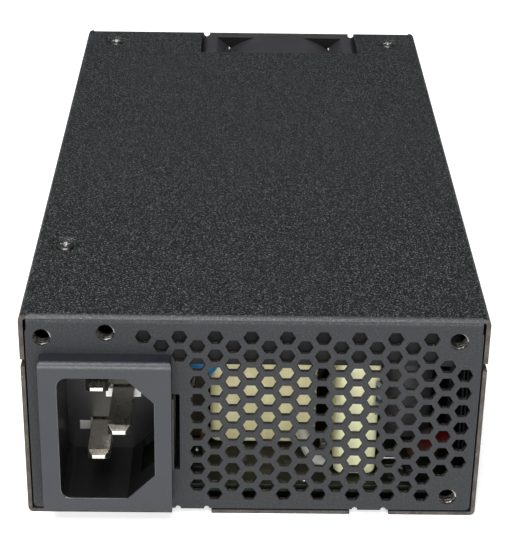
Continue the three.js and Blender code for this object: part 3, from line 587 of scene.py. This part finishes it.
def rounded_rectangle(half_u, half_v, radius, centre=(0, 0), steps=8):
    points = []
    for sign_u, sign_v, start in ((1, 1, 0), (-1, 1, 90), (-1, -1, 180), (1, -1, 270)):
        for k in range(steps + 1):
            angle = math.radians(start + 90 * k / steps)
            points.append((centre[0] + sign_u * (half_u - radius) + radius * math.cos(angle),
                           centre[1] + sign_v * (half_v - radius) + radius * math.sin(angle)))
    return points


def soft_block(x, y, z, radius, edge=0.5):
    """A block with round upright corners and softened rims."""
    centre = ((x[0] + x[1]) / 2, (y[0] + y[1]) / 2)
    outline = rounded_rectangle((x[1] - x[0]) / 2, (y[1] - y[0]) / 2, radius, centre)
    return soften(prism(outline, z[0], z[1], "Z"), edge, 50, 3)


def merged(*shapes):
    """Several shapes in one, without cutting them into each other."""
    whole = bmesh.new()
    for shape in shapes:
        mesh = bpy.data.meshes.new("part")
        shape.to_mesh(mesh)
        shape.free()
        whole.from_mesh(mesh)
        bpy.data.meshes.remove(mesh)
    return whole


def solid_object(shape):
    mesh = bpy.data.meshes.new("part")
    shape.to_mesh(mesh)
    shape.free()
    made = bpy.data.objects.new("part", mesh)
    bpy.context.collection.objects.link(made)
    return made


def evaluated_shape(made):
    """The shape that an object has once its modifiers are applied."""
    evaluated = made.evaluated_get(bpy.context.evaluated_depsgraph_get())
    shape = bmesh.new()
    shape.from_mesh(evaluated.to_mesh())
    evaluated.to_mesh_clear()
    return shape


def combined(operation, shape, *tools):
    """The result of joining tools to a shape, or of cutting them from it."""
    target = solid_object(shape)
    others = [solid_object(tool) for tool in tools]
    for other in others:
        step = target.modifiers.new("step", "BOOLEAN")
        step.operation = operation
        step.solver = "EXACT"
        step.object = other
    result = evaluated_shape(target)
    for made in (target, *others):
        mesh = made.data
        bpy.data.objects.remove(made)
        bpy.data.meshes.remove(mesh)
    return result


def carved(shape, *tools):
    return combined("DIFFERENCE", shape, *tools)


def turned_by(shape, angle, axis, place=(0, 0, 0)):
    """Turns a shape by degrees about an axis through a place, and returns it."""
    centre = Matrix.Translation(Vector(place) * MM)
    shape.transform(centre @ Matrix.Rotation(math.radians(angle), 4, axis) @ centre.inverted())
    return shape


def moved(shape, x, y, z):
    shape.transform(Matrix.Translation(Vector((x, y, z)) * MM))
    return shape


def cad_shape(node):
    """A CAD node's mesh with its shared corners joined and its flat faces merged."""
    shape = bmesh.new()
    shape.from_mesh(NODES[node].data)
    bmesh.ops.remove_doubles(shape, verts=shape.verts, dist=0.002 * MM)
    bmesh.ops.dissolve_limit(shape, angle_limit=math.radians(0.6), verts=shape.verts,
                             edges=shape.edges, delimit={"NORMAL"})
    return shape


def soften(shape, width_mm, angle=28, segments=2, where=lambda place: True):
    """Rounds the edges that are sharper than the angle, and whose middle passes the test."""
    limit = math.radians(angle)
    sharp = [e for e in shape.edges if len(e.link_faces) == 2 and e.calc_face_angle(0) > limit
             and where((e.verts[0].co + e.verts[1].co) / (2 * MM))]
    bmesh.ops.bevel(shape, geom=sharp, offset=width_mm * MM, segments=segments, profile=0.5,
                    affect="EDGES", clamp_overlap=True, loop_slide=False)
    return shape


# ---------------- pieces

def add_piece(name, shape, slot, replaced=(), body="unit", extra=(), angle=32, look=None):
    """Turns a shape into a piece that rides on a body and wears a slot's material, or a look's."""
    mesh = bpy.data.meshes.new(name)
    shape.to_mesh(mesh)
    shape.free()
    piece = bpy.data.objects.new(name, mesh)
    bpy.context.collection.objects.link(piece)
    for wanted in (look or slot, *extra):
        mesh.materials.append(MATERIALS[wanted])
    for polygon in mesh.polygons:
        polygon.use_smooth = True
    mesh.set_sharp_from_angle(angle=math.radians(angle))
    even = piece.modifiers.new("even_normals", "WEIGHTED_NORMAL")
    even.keep_sharp = True
    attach(piece, body)
    if replaced:
        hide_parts(*replaced)
    return piece


def refine(node, width_mm, angle=28, segments=2):
    """The CAD node's own shape with rounded edges."""
    shape = soften(cad_shape(node), width_mm, angle, segments)
    add_piece(node + "_fine", shape, SLOT_OF[node], (node,), NODES[node]["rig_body"])


def paint_nodes():
    """Gives each CAD node its slot's material. Nodes that stay in view keep it."""
    for name, node in NODES.items():
        node.data.materials.clear()
        node.data.materials.append(MATERIALS[SLOT_OF[name]])


SHEET_FINISHES = ("powder_coat", "cut_edge", "punched_wall", "coat_top", "coat_bend")
SIDE_INNER_X = 39.85               # inner face of the cover's side flanges
TOP_LOW_Z = 39.0                   # the top sheet with its bends and screw recesses is above this


def cover_finish(face):
    """Which of the finishes a face of the cover has."""
    centre = face.calc_center_median() / MM
    normal = face.normal
    at_end = abs(abs(centre.y - CASE_MIDDLE_Y) - FLANGE_HALF_LENGTH) < 0.05 and abs(normal.y) > 0.9
    under_flange = abs(centre.x) > SIDE_INNER_X and normal.z < -0.9 and centre.z < 33
    in_panel = REAR_Y - 0.05 < centre.y < REAR_Y + SHEET + 0.05
    in_vents = in_panel and 1.5 < centre.z < 38.1 and abs(centre.x) < 39
    in_top = centre.z > TOP_LOW_Z
    at_fan_window = in_top and centre.y > 58 and abs(centre.x) < 27
    if at_end or under_flange or (at_fan_window and abs(normal.z) < 0.2):
        return "cut_edge"
    if in_vents and abs(normal.y) < 0.3:
        return "punched_wall"
    # the upper half of the rear bend gets the painted highlight
    if in_top and centre.y < REAR_Y + 1.5 and normal.y < -0.1:
        return "coat_bend" if normal.z > 0.55 else "powder_coat"
    # faces of the top get the darker copy with painted glints
    return "coat_top" if in_top and normal.z > 0.3 else "powder_coat"


def tray_finish(face):
    """Which of the finishes a face of the base tray has."""
    centre = face.calc_center_median() / MM
    at_end = abs(abs(centre.y - CASE_MIDDLE_Y) - CASE_HALF_LENGTH) < 0.05 and abs(face.normal.y) > 0.9
    at_top = centre.z > 30.4 and face.normal.z > 0.9 and abs(centre.x) > 39.7
    return "cut_edge" if at_end or at_top else "powder_coat"


def sheet_metal():
    for node, finish in (("cover", cover_finish), ("base_tray", tray_finish)):
        shape = cad_shape(node)
        for face in shape.faces:
            face.material_index = SHEET_FINISHES.index(finish(face))
        add_piece(node + "_fine", soften(shape, 0.09), "powder_coat", (node,), extra=SHEET_FINISHES[1:])


def thread_ridge(x, z):
    """A helical ridge inside a tapped hole, with its crest towards the middle."""
    turns, steps = 3.1, 32
    shape = bmesh.new()
    rows = []
    for k in range(int(turns * steps)):
        angle = 2 * math.pi * k / steps
        y = REAR_Y + 0.12 + THREAD_PITCH * k / steps
        row = []
        for radius, shift in ((HOLE_RADIUS, -0.3), (HOLE_RADIUS - 0.22, -0.04),
                              (HOLE_RADIUS - 0.22, 0.04), (HOLE_RADIUS, 0.3)):
            depth = min(max(y + shift * THREAD_PITCH * 1.3, REAR_Y + 0.06), REAR_Y + COLLAR_DEPTH)
            row.append(shape.verts.new((x * MM + radius * math.cos(angle) * MM, depth * MM,
                                        z * MM + radius * math.sin(angle) * MM)))
        rows.append(row)
    for first, second in zip(rows, rows[1:]):
        for j in range(3):
            shape.faces.new((first[j], second[j], second[j + 1], first[j + 1]))
    return shape


def tapped_holes():
    for k, (x, z) in enumerate(MOUNT_HOLES):
        add_piece(f"thread_{k + 1}", thread_ridge(x, z), "screw_steel", angle=40,
                  look="thread_metal")


def cross_recess(radius, depth, top, place, axis="Z"):
    """A cross-shaped cutter whose arms narrow towards the bottom."""
    arms = []
    for angle in (0, 90):
        outline = [(-radius, top + 0.2), (radius, top + 0.2), (radius * 0.42, top - depth),
                   (-radius * 0.42, top - depth)]
        arm = prism(outline, -0.36, 0.36, "Y")
        arms.append(turned_by(arm, angle, "Z"))
    cross = combined("UNION", *arms)
    if axis == "Y":
        turned_by(cross, -90, "X")
    return moved(cross, *place)


def cover_screws():
    for node in ("cover_screw_rear_left", "cover_screw_far_left", "cover_screw_far_right"):
        (low_x, high_x), (low_y, high_y), (_, high_z) = span(node)
        place = ((low_x + high_x) / 2, (low_y + high_y) / 2, high_z)
        shank = [(0, -3.6), (1.2, -3.6), (1.2, -1.3), (2.2, -0.75)]
        washer = [(2.3, -0.7), (2.33, -0.55), (2.24, -0.44), (1.66, -0.4)]
        dome = [(1.64, -0.22), (1.5, 0.02), (1.2, 0.15), (0.8, 0.2), (0, 0.2)]
        head = carved(lathe([*shank, *washer, *dome], 56, "Z", place), cross_recess(1.1, 0.8, 0.2, place))
        # the washer rim wears the brighter thread metal, a painted highlight along its edge
        for face in head.faces:
            outward = (face.calc_center_median().xy / MM - Vector(place[:2])).length
            face.material_index = 1 if outward > 2.2 and face.normal.z > -0.2 else 0
        add_piece(node + "_fine", soften(head, 0.06, 40, 2), "dark_screw", (node,), extra=("thread_metal",))


# ---------------- inlet

INLET_CENTRE = (-25.75, 17.8)
CAVITY_BACK_Y = -61.4
MOUTH_HALF = (8.5, 12.5)
CAVITY_DEPTH = 17.2                # from the flange's face
BLADE_HALF = (2, 1)
BLADE_TIP_INSET = (0.85, 0.68)
BLADE_TIP_LENGTH = 1.3


def mouth_outline(inset):
    """The inlet's mouth as x and z, drawn in by an inset: round on the left, bevelled on the right."""
    x, z = INLET_CENTRE
    half_x, half_z = MOUTH_HALF[0] - inset, MOUTH_HALF[1] - inset
    corner = 1.9 - inset
    bevel = 5 - inset * (2 - math.sqrt(2))
    points = [(x + half_x - bevel, z + half_z), (x + half_x, z + half_z - bevel),
              (x + half_x, z - half_z + bevel), (x + half_x - bevel, z - half_z)]
    for sign, start in ((-1, 270), (1, 180)):
        for k in range(7):
            angle = math.radians(start - 15 * k)
            points.append((x - half_x + corner + corner * math.cos(angle),
                           z + sign * (half_z - corner) + corner * math.sin(angle)))
    return points


def inlet():
    low_y = span("inlet_housing")[1][0]
    shape = soften(cad_shape("inlet_housing"), 0.8, 28, 5, on_flange_rim)
    shape = soften(shape, 0.15, 40, 2, lambda place: not on_flange_rim(place))
    # faces inside the mouth get the darker copy, painted shade deep in the cavity
    for face in shape.faces:
        offset = face.calc_center_median() / MM - Vector((INLET_CENTRE[0], low_y, INLET_CENTRE[1]))
        in_mouth = abs(offset.x) < MOUTH_HALF[0] + 0.1 and abs(offset.z) < MOUTH_HALF[1] + 0.1
        face.material_index = 1 if in_mouth and 0.5 < offset.y < CAVITY_DEPTH else 0
    add_piece("inlet_housing_fine", shape, "inlet_plastic", ("inlet_housing",), extra=("inlet_deep",))
    # the bead around the mouth wears a lighter copy of the plastic, a painted highlight
    rim = [(x, low_y + 0.26, z) for x, z in mouth_outline(-0.12)]
    add_piece("mouth_rim", tube([*rim, rim[0]], 0.24, 10), "inlet_plastic", look="polished_rim")
    for node in ("line_blade", "neutral_blade", "earth_blade"):
        tip_y, lug_end = span(node)[1]
        x, _, z = middle(node)
        bar = tapered_bar((x - BLADE_HALF[0], x + BLADE_HALF[0]), (tip_y, CAVITY_BACK_Y + 3),
                          (z - BLADE_HALF[1], z + BLADE_HALF[1]), BLADE_TIP_INSET, BLADE_TIP_LENGTH)
        plate_y = CAVITY_BACK_Y + 1.8
        plate = soften(box_shape((x - 3.3, x + 3.3), (plate_y, plate_y + 1.1), (z - 2.6, z + 2.6)), 0.1)
        lug = soften(box_shape((x - 2.4, x + 2.4), (plate_y + 0.5, lug_end), (z - 0.4, z + 0.4)), 0.1)
        add_piece(node + "_fine", merged(bar, plate, lug), "nickel", (node,))
    insulator = box_shape((-27.1, -20.6), (-61.75, -61.3), (16.55, 18.3))
    add_piece("earth_insulator", soften(insulator, 0.08), "ceramic", look="white_board")
    plate = box_shape((-32.6, -29.6), (-61.2, -60.5), (8.8, 11.6))
    add_piece("coding_plate", soften(plate, 0.08), "ceramic", look="speckled_plate")


def on_flange_rim(place):
    """Whether a place is on the outer rim of the flange's front, or on its upright corners."""
    low_y = span("inlet_housing")[1][0]
    outside = abs(place.x - INLET_CENTRE[0]) > 11 or abs(place.z - INLET_CENTRE[1]) > 14.5
    return outside and place.y < low_y + 3


def leads():
    for node in ("line_lead", "neutral_lead", "earth_lead"):
        refine(node, 0.05, 80, 1)


# ---------------- fan

FAN_NEAR, FAN_FAR = span("fan_frame")[1]
FAN_HALF_WIDTH = 20
FAN_CORNER_RADIUS = 4.4
FAN_FLANGE_THICKNESS = 2.5
FAN_HOLE_HALF_PITCH = 16
FAN_HOLE_RADIUS = 2.15
FAN_SCREW_HEAD_HEIGHT = 1.5
BARREL_RADIUS = 20.9
BORE_RADIUS = 18.8
ROTOR_NEAR, ROTOR_FAR = FAN_NEAR + 2.1, FAN_FAR - 0.8
HUB_RADIUS = 10.4
BLADE_COUNT = 7
BLADE_CHORD = 9.0
GUARD_RING_RADII = (5.5, 10.5, 15.5)
GUARD_EYE_RADIUS = 2.5
GUARD_WIRE_RADIUS = 0.58
CORNERS = [(-1, -1), (1, -1), (-1, 1), (1, 1)]


def fan_frame():
    x, z = FAN_CENTRE.x, FAN_CENTRE.z
    square = rounded_rectangle(FAN_HALF_WIDTH, FAN_HALF_WIDTH, FAN_CORNER_RADIUS, (x, z), 10)
    flange = prism(square, FAN_FAR - FAN_FLANGE_THICKNESS, FAN_FAR)
    barrel_far = FAN_FAR - FAN_FLANGE_THICKNESS + 0.1
    barrel = combined("INTERSECT", rod(BARREL_RADIUS, FAN_NEAR, barrel_far, 96, "Y", (x, 0, z)),
                      prism(square, FAN_NEAR - 1, FAN_FAR))
    posts = []
    for sign_x, sign_z in CORNERS:
        edges = [(20, 20), (20, 15.4), (17.2, 12), (13, 13), (12, 17.2), (15.4, 20)]
        post = prism([(x + sign_x * u, z + sign_z * v) for u, v in edges], FAN_NEAR, barrel_far)
        posts.append(combined("INTERSECT", post, prism(square, FAN_NEAR - 1, FAN_FAR)))
    shell = combined("UNION", flange, barrel, *posts)
    half = FAN_HOLE_HALF_PITCH
    holes = [rod(FAN_HOLE_RADIUS, FAN_NEAR - 1, FAN_FAR + 1, 32, "Y", (x + sx * half, 0, z + sz * half))
             for sx, sz in CORNERS]
    shell = carved(shell, rod(BORE_RADIUS, FAN_NEAR - 1, FAN_FAR + 1, 96, "Y", (x, 0, z)), *holes)
    struts = []
    for angle in (45, 135, 225, 315):
        strut = box_shape((9.5, BORE_RADIUS + 0.4), (FAN_NEAR, FAN_NEAR + 1.6), (-1.1, 1.1))
        struts.append(moved(turned_by(strut, angle, "Y"), x, 0, z))
    base = rod(10.2, FAN_NEAR, FAN_NEAR + 1.4, 64, "Y", (x, 0, z))
    seat = lathe([(2.7, FAN_NEAR + 1), (3.6, FAN_NEAR + 1), (3.6, FAN_NEAR + 10), (2.7, FAN_NEAR + 10)],
                 32, "Y", (x, 0, z))
    whole = combined("UNION", shell, base, *struts)
    # painted glints: small light nubs at the bottom of each groove stand in for a glint
    glint_nubs = [rod(0.17, FAN_FAR - 3.9, FAN_FAR - 3.1, 12, "Y", (x + side * 12.35, 0, z + 17.55))
            for side in (-1, 1)]
    frame_shape = merged(soften(whole, 0.12, 40, 2), seat)
    # faces behind the flange and beside the posts get the near-black copy, painted shade deep in the grooves
    for face in frame_shape.faces:
        place = face.calc_center_median() / MM
        inner = min(abs(place.x - x), abs(place.z - z))
        behind_flange = face.normal.y < -0.9 and FAN_FAR - 3 < place.y < FAN_FAR
        beside_post = 12.05 < inner < 15.3 and face.normal.z < 0.3 and abs(face.normal.y) < 0.3
        face.material_index = 1 if behind_flange or beside_post else 0
    add_piece("fan_frame_fine", frame_shape, "fan_plastic", ("fan_frame",), extra=("groove_plastic",))
    add_piece("fan_groove_painted_glints", merged(*glint_nubs), "ceramic")


def fan_blade(angle):
    """A thin cambered blade, pitched more steeply at its root than at its tip."""
    centre_y = (ROTOR_NEAR + ROTOR_FAR) / 2
    sections, chords = 10, 12
    rows = []
    for k in range(sections):
        part = k / (sections - 1)
        radius = 9.9 + part * 8.1
        pitch = math.radians(52 - 16 * part)
        sweep = 0.22 * part + math.radians(angle)
        loop = []
        for j in range(2 * chords):
            upper = j < chords
            s = (j if upper else 2 * chords - 1 - j) / (chords - 1)
            thickness = 0.42 * math.sqrt(max(0.0, 4 * s * (1 - s))) + 0.08
            camber = 0.75 * 4 * s * (1 - s)
            u = (s - 0.5) * BLADE_CHORD
            v = camber - 0.35 + (thickness if upper else -thickness)
            side = u * math.cos(pitch) - v * math.sin(pitch)
            y = centre_y + u * math.sin(pitch) + v * math.cos(pitch)
            y = min(max(y, ROTOR_NEAR + 0.1), ROTOR_FAR)
            turn = sweep + side / radius
            loop.append((radius * math.cos(turn), y, -radius * math.sin(turn)))
        rows.append(loop)
    return lofted(rows)


def fan_rotor():
    x, z = FAN_CENTRE.x, FAN_CENTRE.z
    cap_y = FAN_FAR - 2
    cup = lathe([(9.3, ROTOR_NEAR), (HUB_RADIUS, ROTOR_NEAR), (HUB_RADIUS, ROTOR_FAR - 1.0),
                 (10.1, ROTOR_FAR - 0.3), (9.4, ROTOR_FAR), (4.2, ROTOR_FAR), (4.0, ROTOR_FAR - 0.25),
                 (0, ROTOR_FAR - 0.25), (0, cap_y), (9.3, cap_y)], 72, "Y")
    boss = lathe([(1.3, cap_y - 1.2), (2.6, cap_y - 1.2), (2.6, cap_y + 0.1), (1.3, cap_y + 0.1)], 32, "Y")
    blades = [fan_blade(360 * k / BLADE_COUNT) for k in range(BLADE_COUNT)]
    rotor = moved(merged(cup, boss, *blades), x, 0, z)
    add_piece("fan_rotor_fine", rotor, "fan_plastic", ("fan_rotor",), "rotor", angle=40)


def finger_guard():
    x, z = FAN_CENTRE.x, FAN_CENTRE.z
    y = middle("finger_guard").y
    wire = GUARD_WIRE_RADIUS

    def loop(radius, u, v):
        profile = [(radius + wire * math.cos(a), wire * math.sin(a))
                   for a in (2 * math.pi * k / 14 for k in range(14))]
        return lathe(profile, 88 if radius > 4 else 40, "Y", (x + u, y, z + v))

    pieces = [loop(radius, 0, 0) for radius in GUARD_RING_RADII]
    half = FAN_HOLE_HALF_PITCH
    pieces += [loop(GUARD_EYE_RADIUS, sx * half, sz * half) for sx, sz in CORNERS]
    for angle in (45, 135, 225, 315):
        reach = half * math.sqrt(2) - GUARD_EYE_RADIUS
        spoke = tube([(0.3, 0, 0), (reach / 2, 0, 0), (reach, 0, 0)], wire, 14)
        pieces.append(moved(turned_by(spoke, angle, "Y"), x, y, z))
    add_piece("finger_guard_fine", merged(*pieces), "guard_wire", ("finger_guard",), angle=50)


def fan_screws():
    for k in range(4):
        node = f"fan_screw_{k + 1}"
        (low_x, high_x), (_, high_y), (low_z, high_z) = span(node)
        place = ((low_x + high_x) / 2, high_y, (low_z + high_z) / 2)
        height = FAN_SCREW_HEAD_HEIGHT
        dome = [(2.9 * math.cos(a), -height * 0.55 * (1 - math.sin(a)))
                for a in (i * math.pi / 12 for i in range(6))]
        profile = [(0, -height - 11), (1.6, -height - 11), (1.6, -height), (2.85, -height), *dome, (0, 0)]
        head = lathe(profile, 48, "Y", place)
        add_piece(node + "_fine", carved(head, cross_recess(1.6, 1.0, 0, place, "Y")), "screw_steel", (node,))


def fan():
    fan_frame()
    fan_rotor()
    finger_guard()
    fan_screws()


# ---------------- output sockets

SOCKET_PITCH = 4.2
SOCKET_RIM = 2.7                   # from the middle of an outer pin to the socket's edge
PIN_HALF = 0.53


def sockets():
    for node in ("main_socket_wide", "main_socket_narrow", "processor_socket", "graphics_socket"):
        centre = middle(node)
        low_z, high_z = span(node)[2]
        rows = round((high_z - low_z - 2 * SOCKET_RIM) / SOCKET_PITCH) + 1
        refine(node, 0.14, 28, 2)
        pins = []
        for column in (-0.5, 0.5):
            for row in range(rows):
                x = centre.x + column * SOCKET_PITCH
                z = centre.z + (row - (rows - 1) / 2) * SOCKET_PITCH
                pins.append(tapered_bar((x - PIN_HALF, x + PIN_HALF), (67, 73.6),
                                        (z - PIN_HALF, z + PIN_HALF), (0.3, 0.3), 0.8, False))
        add_piece(node + "_pins", merged(*pins), "brass")


# ---------------- parts behind the vents

def taped_block(node, radius, swell, look):
    """A wound block wrapped in tape: rounded, slightly swollen, with lapped tape ends."""
    x, y, z = span(node)
    inset = 0.05 + swell
    core = soft_block((x[0] + inset, x[1] - inset), (y[0] + inset, y[1] - inset), z, radius, 0.7)
    bmesh.ops.subdivide_edges(core, edges=core.edges, cuts=3, use_grid_fill=True)
    centre = middle(node)
    half = Vector(((x[1] - x[0]) / 2, (y[1] - y[0]) / 2, (z[1] - z[0]) / 2))
    for vertex in core.verts:
        offset = vertex.co / MM - centre
        u, v, w = (max(-1.0, min(1.0, offset[k] / half[k])) for k in range(3))
        vertex.co.x += math.copysign(swell, u) * MM * abs(u) * (1 - v * v) * (1 - w * w)
        vertex.co.y += math.copysign(swell, v) * MM * abs(v) * (1 - u * u) * (1 - w * w)
    tape_z = z[0] + (z[1] - z[0]) * 0.62
    lap = soft_block((x[0] + 0.05, x[1] - 0.05), (y[0] + 0.03, y[1] - 0.03), (tape_z, z[1] - 1.2),
                     radius, 0.1)
    add_piece(node + "_fine", merged(core, lap), SLOT_OF[node], (node,), angle=45, look=look)


def dipped_disc(node, centre, radius, thickness, tilt, leads_to):
    """A resin-dipped disc with two legs that run to the board."""
    profile = [(radius * math.cos(a), thickness / 2 * math.sin(a) * (1.15 - 0.15 * math.sin(a)))
               for a in (math.radians(-90 + 180 * k / 16) for k in range(17))]
    disc = lathe(profile, 56, "Z")
    disc.transform(tilt.to_4x4())
    moved(disc, *centre)
    legs = []
    for start, end in leads_to:
        start_point = centre + tilt @ Vector(start)
        halfway = (start_point + Vector(end)) / 2 + Vector((0, -0.3, 0.4))
        legs.append(tube(smooth_path([start_point, halfway, end], 6), 0.32, 10))
    add_piece(node + "_fine", disc, SLOT_OF[node], (node,))
    add_piece(node + "_legs", merged(*legs), "screw_steel")


def silicone():
    """A drip of sealant from the taped block down to the board."""
    shape = bmesh.new()
    path = smooth_path([(9.5, -60.5, 8.6), (9.9, -62, 7.4), (10.6, -63.4, 6.4), (11.7, -64.8, 5.6),
                        (12.8, -65.9, 5.2)], 5)
    for k, point in enumerate(path):
        radius = 0.8 + 0.45 * math.sin(k / (len(path) - 1) * math.pi) + (0.25 if k > 14 else 0)
        ball = bmesh.new()
        bmesh.ops.create_icosphere(ball, subdivisions=2, radius=radius * MM)
        moved(ball, point.x, point.y, max(point.z, BOARD_TOP + radius * 0.4))
        shape = merged(shape, ball)
    drip = solid_object(shape)
    remesh = drip.modifiers.new("skin", "REMESH")
    remesh.mode = "VOXEL"
    remesh.voxel_size = 0.22 * MM
    skin = evaluated_shape(drip)
    bpy.data.objects.remove(drip)
    for _ in range(3):
        bmesh.ops.smooth_vert(skin, verts=skin.verts, factor=0.5,
                              use_axis_x=True, use_axis_y=True, use_axis_z=True)
    add_piece("silicone_fine", skin, "silicone", ("silicone_blob",), angle=80)


def sleeved_can(node, axis, vent_end):
    """A capacitor: a sleeve that rolls over its rims, with a flat metal end."""
    x, y, z = span(node)
    centre = middle(node)
    low, high = {"X": x, "Y": y, "Z": z}[axis]
    radius = (x[1] - x[0]) / 2 if axis != "X" else (z[1] - z[0]) / 2
    place = {"Z": (centre.x, centre.y, 0), "Y": (centre.x, 0, centre.z), "X": (0, centre.y, centre.z)}[axis]
    r = radius * 0.985
    profile = [(0, low + 0.5), (r * 0.8, low + 0.5), (r * 0.82, low), (r * 0.94, low), (r, low + 0.5),
               (r, low + 2.2), (r * 0.955, low + 2.6), (r, low + 3.0), (r, high - 0.5), (r * 0.94, high),
               (r * 0.82, high), (r * 0.8, high - 0.4), (0, high - 0.4)]
    sleeve_shape = lathe(profile, 64, axis, place)
    add_piece(node + "_fine", sleeve_shape, SLOT_OF[node], (node,))
    end = high - 0.38 if vent_end > 0 else low + 0.38
    cap = rod(r * 0.79, end - 0.04, end + 0.04, 48, axis, place)
    add_piece(node + "_end", cap, "aluminium")


def wound_ring(node, core_slot):
    """A ring choke: a core under evenly spaced turns of wire."""
    x, _, z = span(node)
    centre = middle(node)
    outer = (x[1] - x[0]) / 2
    height = z[1] - z[0]
    inner = outer * 0.45
    wire = 0.55
    core_profile = rounded_rectangle((outer - inner) / 2 - 2 * wire, height / 2 - 2 * wire, 0.8,
                                     ((outer + inner) / 2, 0), 4)
    core = lathe(core_profile, 64, "Z", centre)
    turns = []
    count = int(2 * math.pi * (inner + wire) / (2.25 * wire))
    section = rounded_rectangle((outer - inner) / 2 - wire, height / 2 - wire, 1.2,
                                ((outer + inner) / 2, 0), 3)
    for k in range(count):
        angle = 2 * math.pi * k / count
        loop = [(u * math.cos(angle), u * math.sin(angle), v) for u, v in section]
        turns.append(tube([*loop, loop[0]], wire, 8))
    winding = moved(merged(*turns), *centre)
    add_piece(node + "_core", core, core_slot)
    add_piece(node + "_fine", winding, "copper", (node,), angle=60)


def heat_sink(node, fin_places):
    """A black sink: an upright plate under a top shelf, with thin fins at the given places."""
    x, y, z = span(node)
    inward = -1 if middle(node).x > 0 else 1
    plate_x = (x[1] - 1.6, x[1]) if inward < 0 else (x[0], x[0] + 1.6)
    shapes = [soften(box_shape(plate_x, y, z), 0.15), soften(box_shape(x, y, (z[1] - 1.2, z[1])), 0.15)]
    for place in fin_places:
        fin = box_shape((place, place + 0.3), (y[0] - 5, y[0] + 8), (z[0] + 1, z[1] - 4))
        shapes.append(soften(fin, 0.06))
    sink = merged(*shapes)
    for face in sink.faces:
        at_end = face.calc_center_median().y < (y[0] - 4) * MM and face.normal.y < -0.5
        face.material_index = 1 if at_end and face.calc_area() < 30 * MM * MM else 0
    add_piece(node + "_fine", sink, "aluminium", (node,), look="black_anodised", extra=("powder_coat",))


def board_details():
    """Legs, solder and small parts that stand on the board in the space behind the vents."""
    seed = random.Random(5)
    domes = []
    for _ in range(8):
        x, y = seed.uniform(-18, 30), seed.uniform(-71.5, -59)
        radius = seed.uniform(0.4, 0.6)
        profile = [(0, 0), (radius, 0), (radius * 0.6, 0.28), (0.22, 0.55), (0, 0.6)]
        domes.append(lathe(profile, 16, "Z", (x, y, BOARD_TOP)))
    add_piece("solder_joints", merged(*domes), "screw_steel")
    chip_places = [(-15, -70.5), (-11, -68), (1.5, -70), (6, -67), (25, -71), (28.5, -68.5), (-3, -66)]
    chips = [soften(box_shape((x, x + 2), (y, y + 1.25), (BOARD_TOP, BOARD_TOP + 0.6)), 0.08)
             for x, y in chip_places]
    add_piece("chip_parts", merged(*chips), "black_plastic")
    for k, (y, z) in enumerate(((-66.4, 6.75), (-67.4, 5.65))):
        jumper = smooth_path([(23.6, y, BOARD_TOP), (23.8, y, z - 0.4), (24.6, y, z), (26.8, y, z),
                              (27.6, y, z - 0.4), (27.8, y, BOARD_TOP)], 5)
        add_piece(f"jumper_{k + 1}", tube(jumper, 0.24, 12), "screw_steel")
    barrel = [(0, -1.3), (0.4, -1.3), (0.62, -0.9), (0.5, -0.4),
              (0.5, 0.4), (0.62, 0.9), (0.4, 1.3), (0, 1.3)]
    add_piece("small_resistor", lathe(barrel, 24, "Z", (-9.1, -63.6, 9.6)), "brown_wire")
    leg = smooth_path([(-9.1, -63.6, 10.8), (-9.1, -63.4, 11.4), (-9.1, -62.8, 11.4), (-9.1, -62.4, 9),
                       (-9.1, -62.4, BOARD_TOP)], 5)
    add_piece("small_resistor_leg", tube(leg, 0.2, 10), "screw_steel")
    add_piece("bobbin_wall", soft_block((-13.2, -8.6), (-57, -51), (BOARD_TOP, 21), 0.6), "black_plastic",
              look="phenolic")
    grey_part = soft_block((12.7, 14.2), (-63.6, -61.6), (BOARD_TOP, 8.2), 0.5)
    add_piece("small_grey_part", grey_part, "grey_sleeve")
    label = soften(box_shape((21.9, 22.84), (-70.3, -70.2), (18.5, 25.5)), 0.02)
    add_piece("choke_label", label, "grey_sleeve", look="label")


def inner_parts():
    taped_block("filter_choke_block", 1.6, 0.25, "cream_tape")
    taped_block("filter_choke_tall", 1.8, 0.2, "pale_tape")
    facing = Matrix.Rotation(math.radians(90), 3, "X")
    dipped_disc("y_capacitor", Vector((-9.4, -62.4, 24.9)), 3.3, 2.8, facing,
                [((-2.6, -1.6, 0), (-13.4, -55, BOARD_TOP)), ((-1.4, -2.6, 0), (-12.4, -55, BOARD_TOP))])
    leaning = Vector((0, 0, 1)).rotation_difference(Vector((-0.5, 0.16, 0.85))).to_matrix()
    dipped_disc("varistor", Vector((32.3, -67, 10.95)), 4.35, 3.1, leaning,
                [((2, 2.8, 0), (34.6, -62, BOARD_TOP)), ((-1, 3.2, 0), (31.4, -62, BOARD_TOP))])
    silicone()
    sleeved_can("filter_capacitor", "Z", 1)
    sleeved_can("bulk_capacitor", "Y", -1)
    for k in range(3):
        sleeved_can(f"output_capacitor_{k + 1}", "Z", 1)
    wound_ring("boost_choke", "black_plastic")
    wound_ring("output_choke", "ceramic")
    heat_sink("heat_sink_primary", (38.0, 38.7))
    heat_sink("heat_sink_output", ())
    for node in ("main_transformer", "standby_transformer", "bridge_rectifier", "switch_transistor",
                 "output_transistor", "fuse", "control_board", "output_board_left", "output_board_right",
                 "main_board"):
        refine(node, 0.15)
    board_details()


# ---------------- making

make_camera()
make_studio()
MATERIALS = make_materials()
paint_nodes()
sheet_metal()
tapped_holes()
cover_screws()
inlet()
leads()
fan()
sockets()
inner_parts()
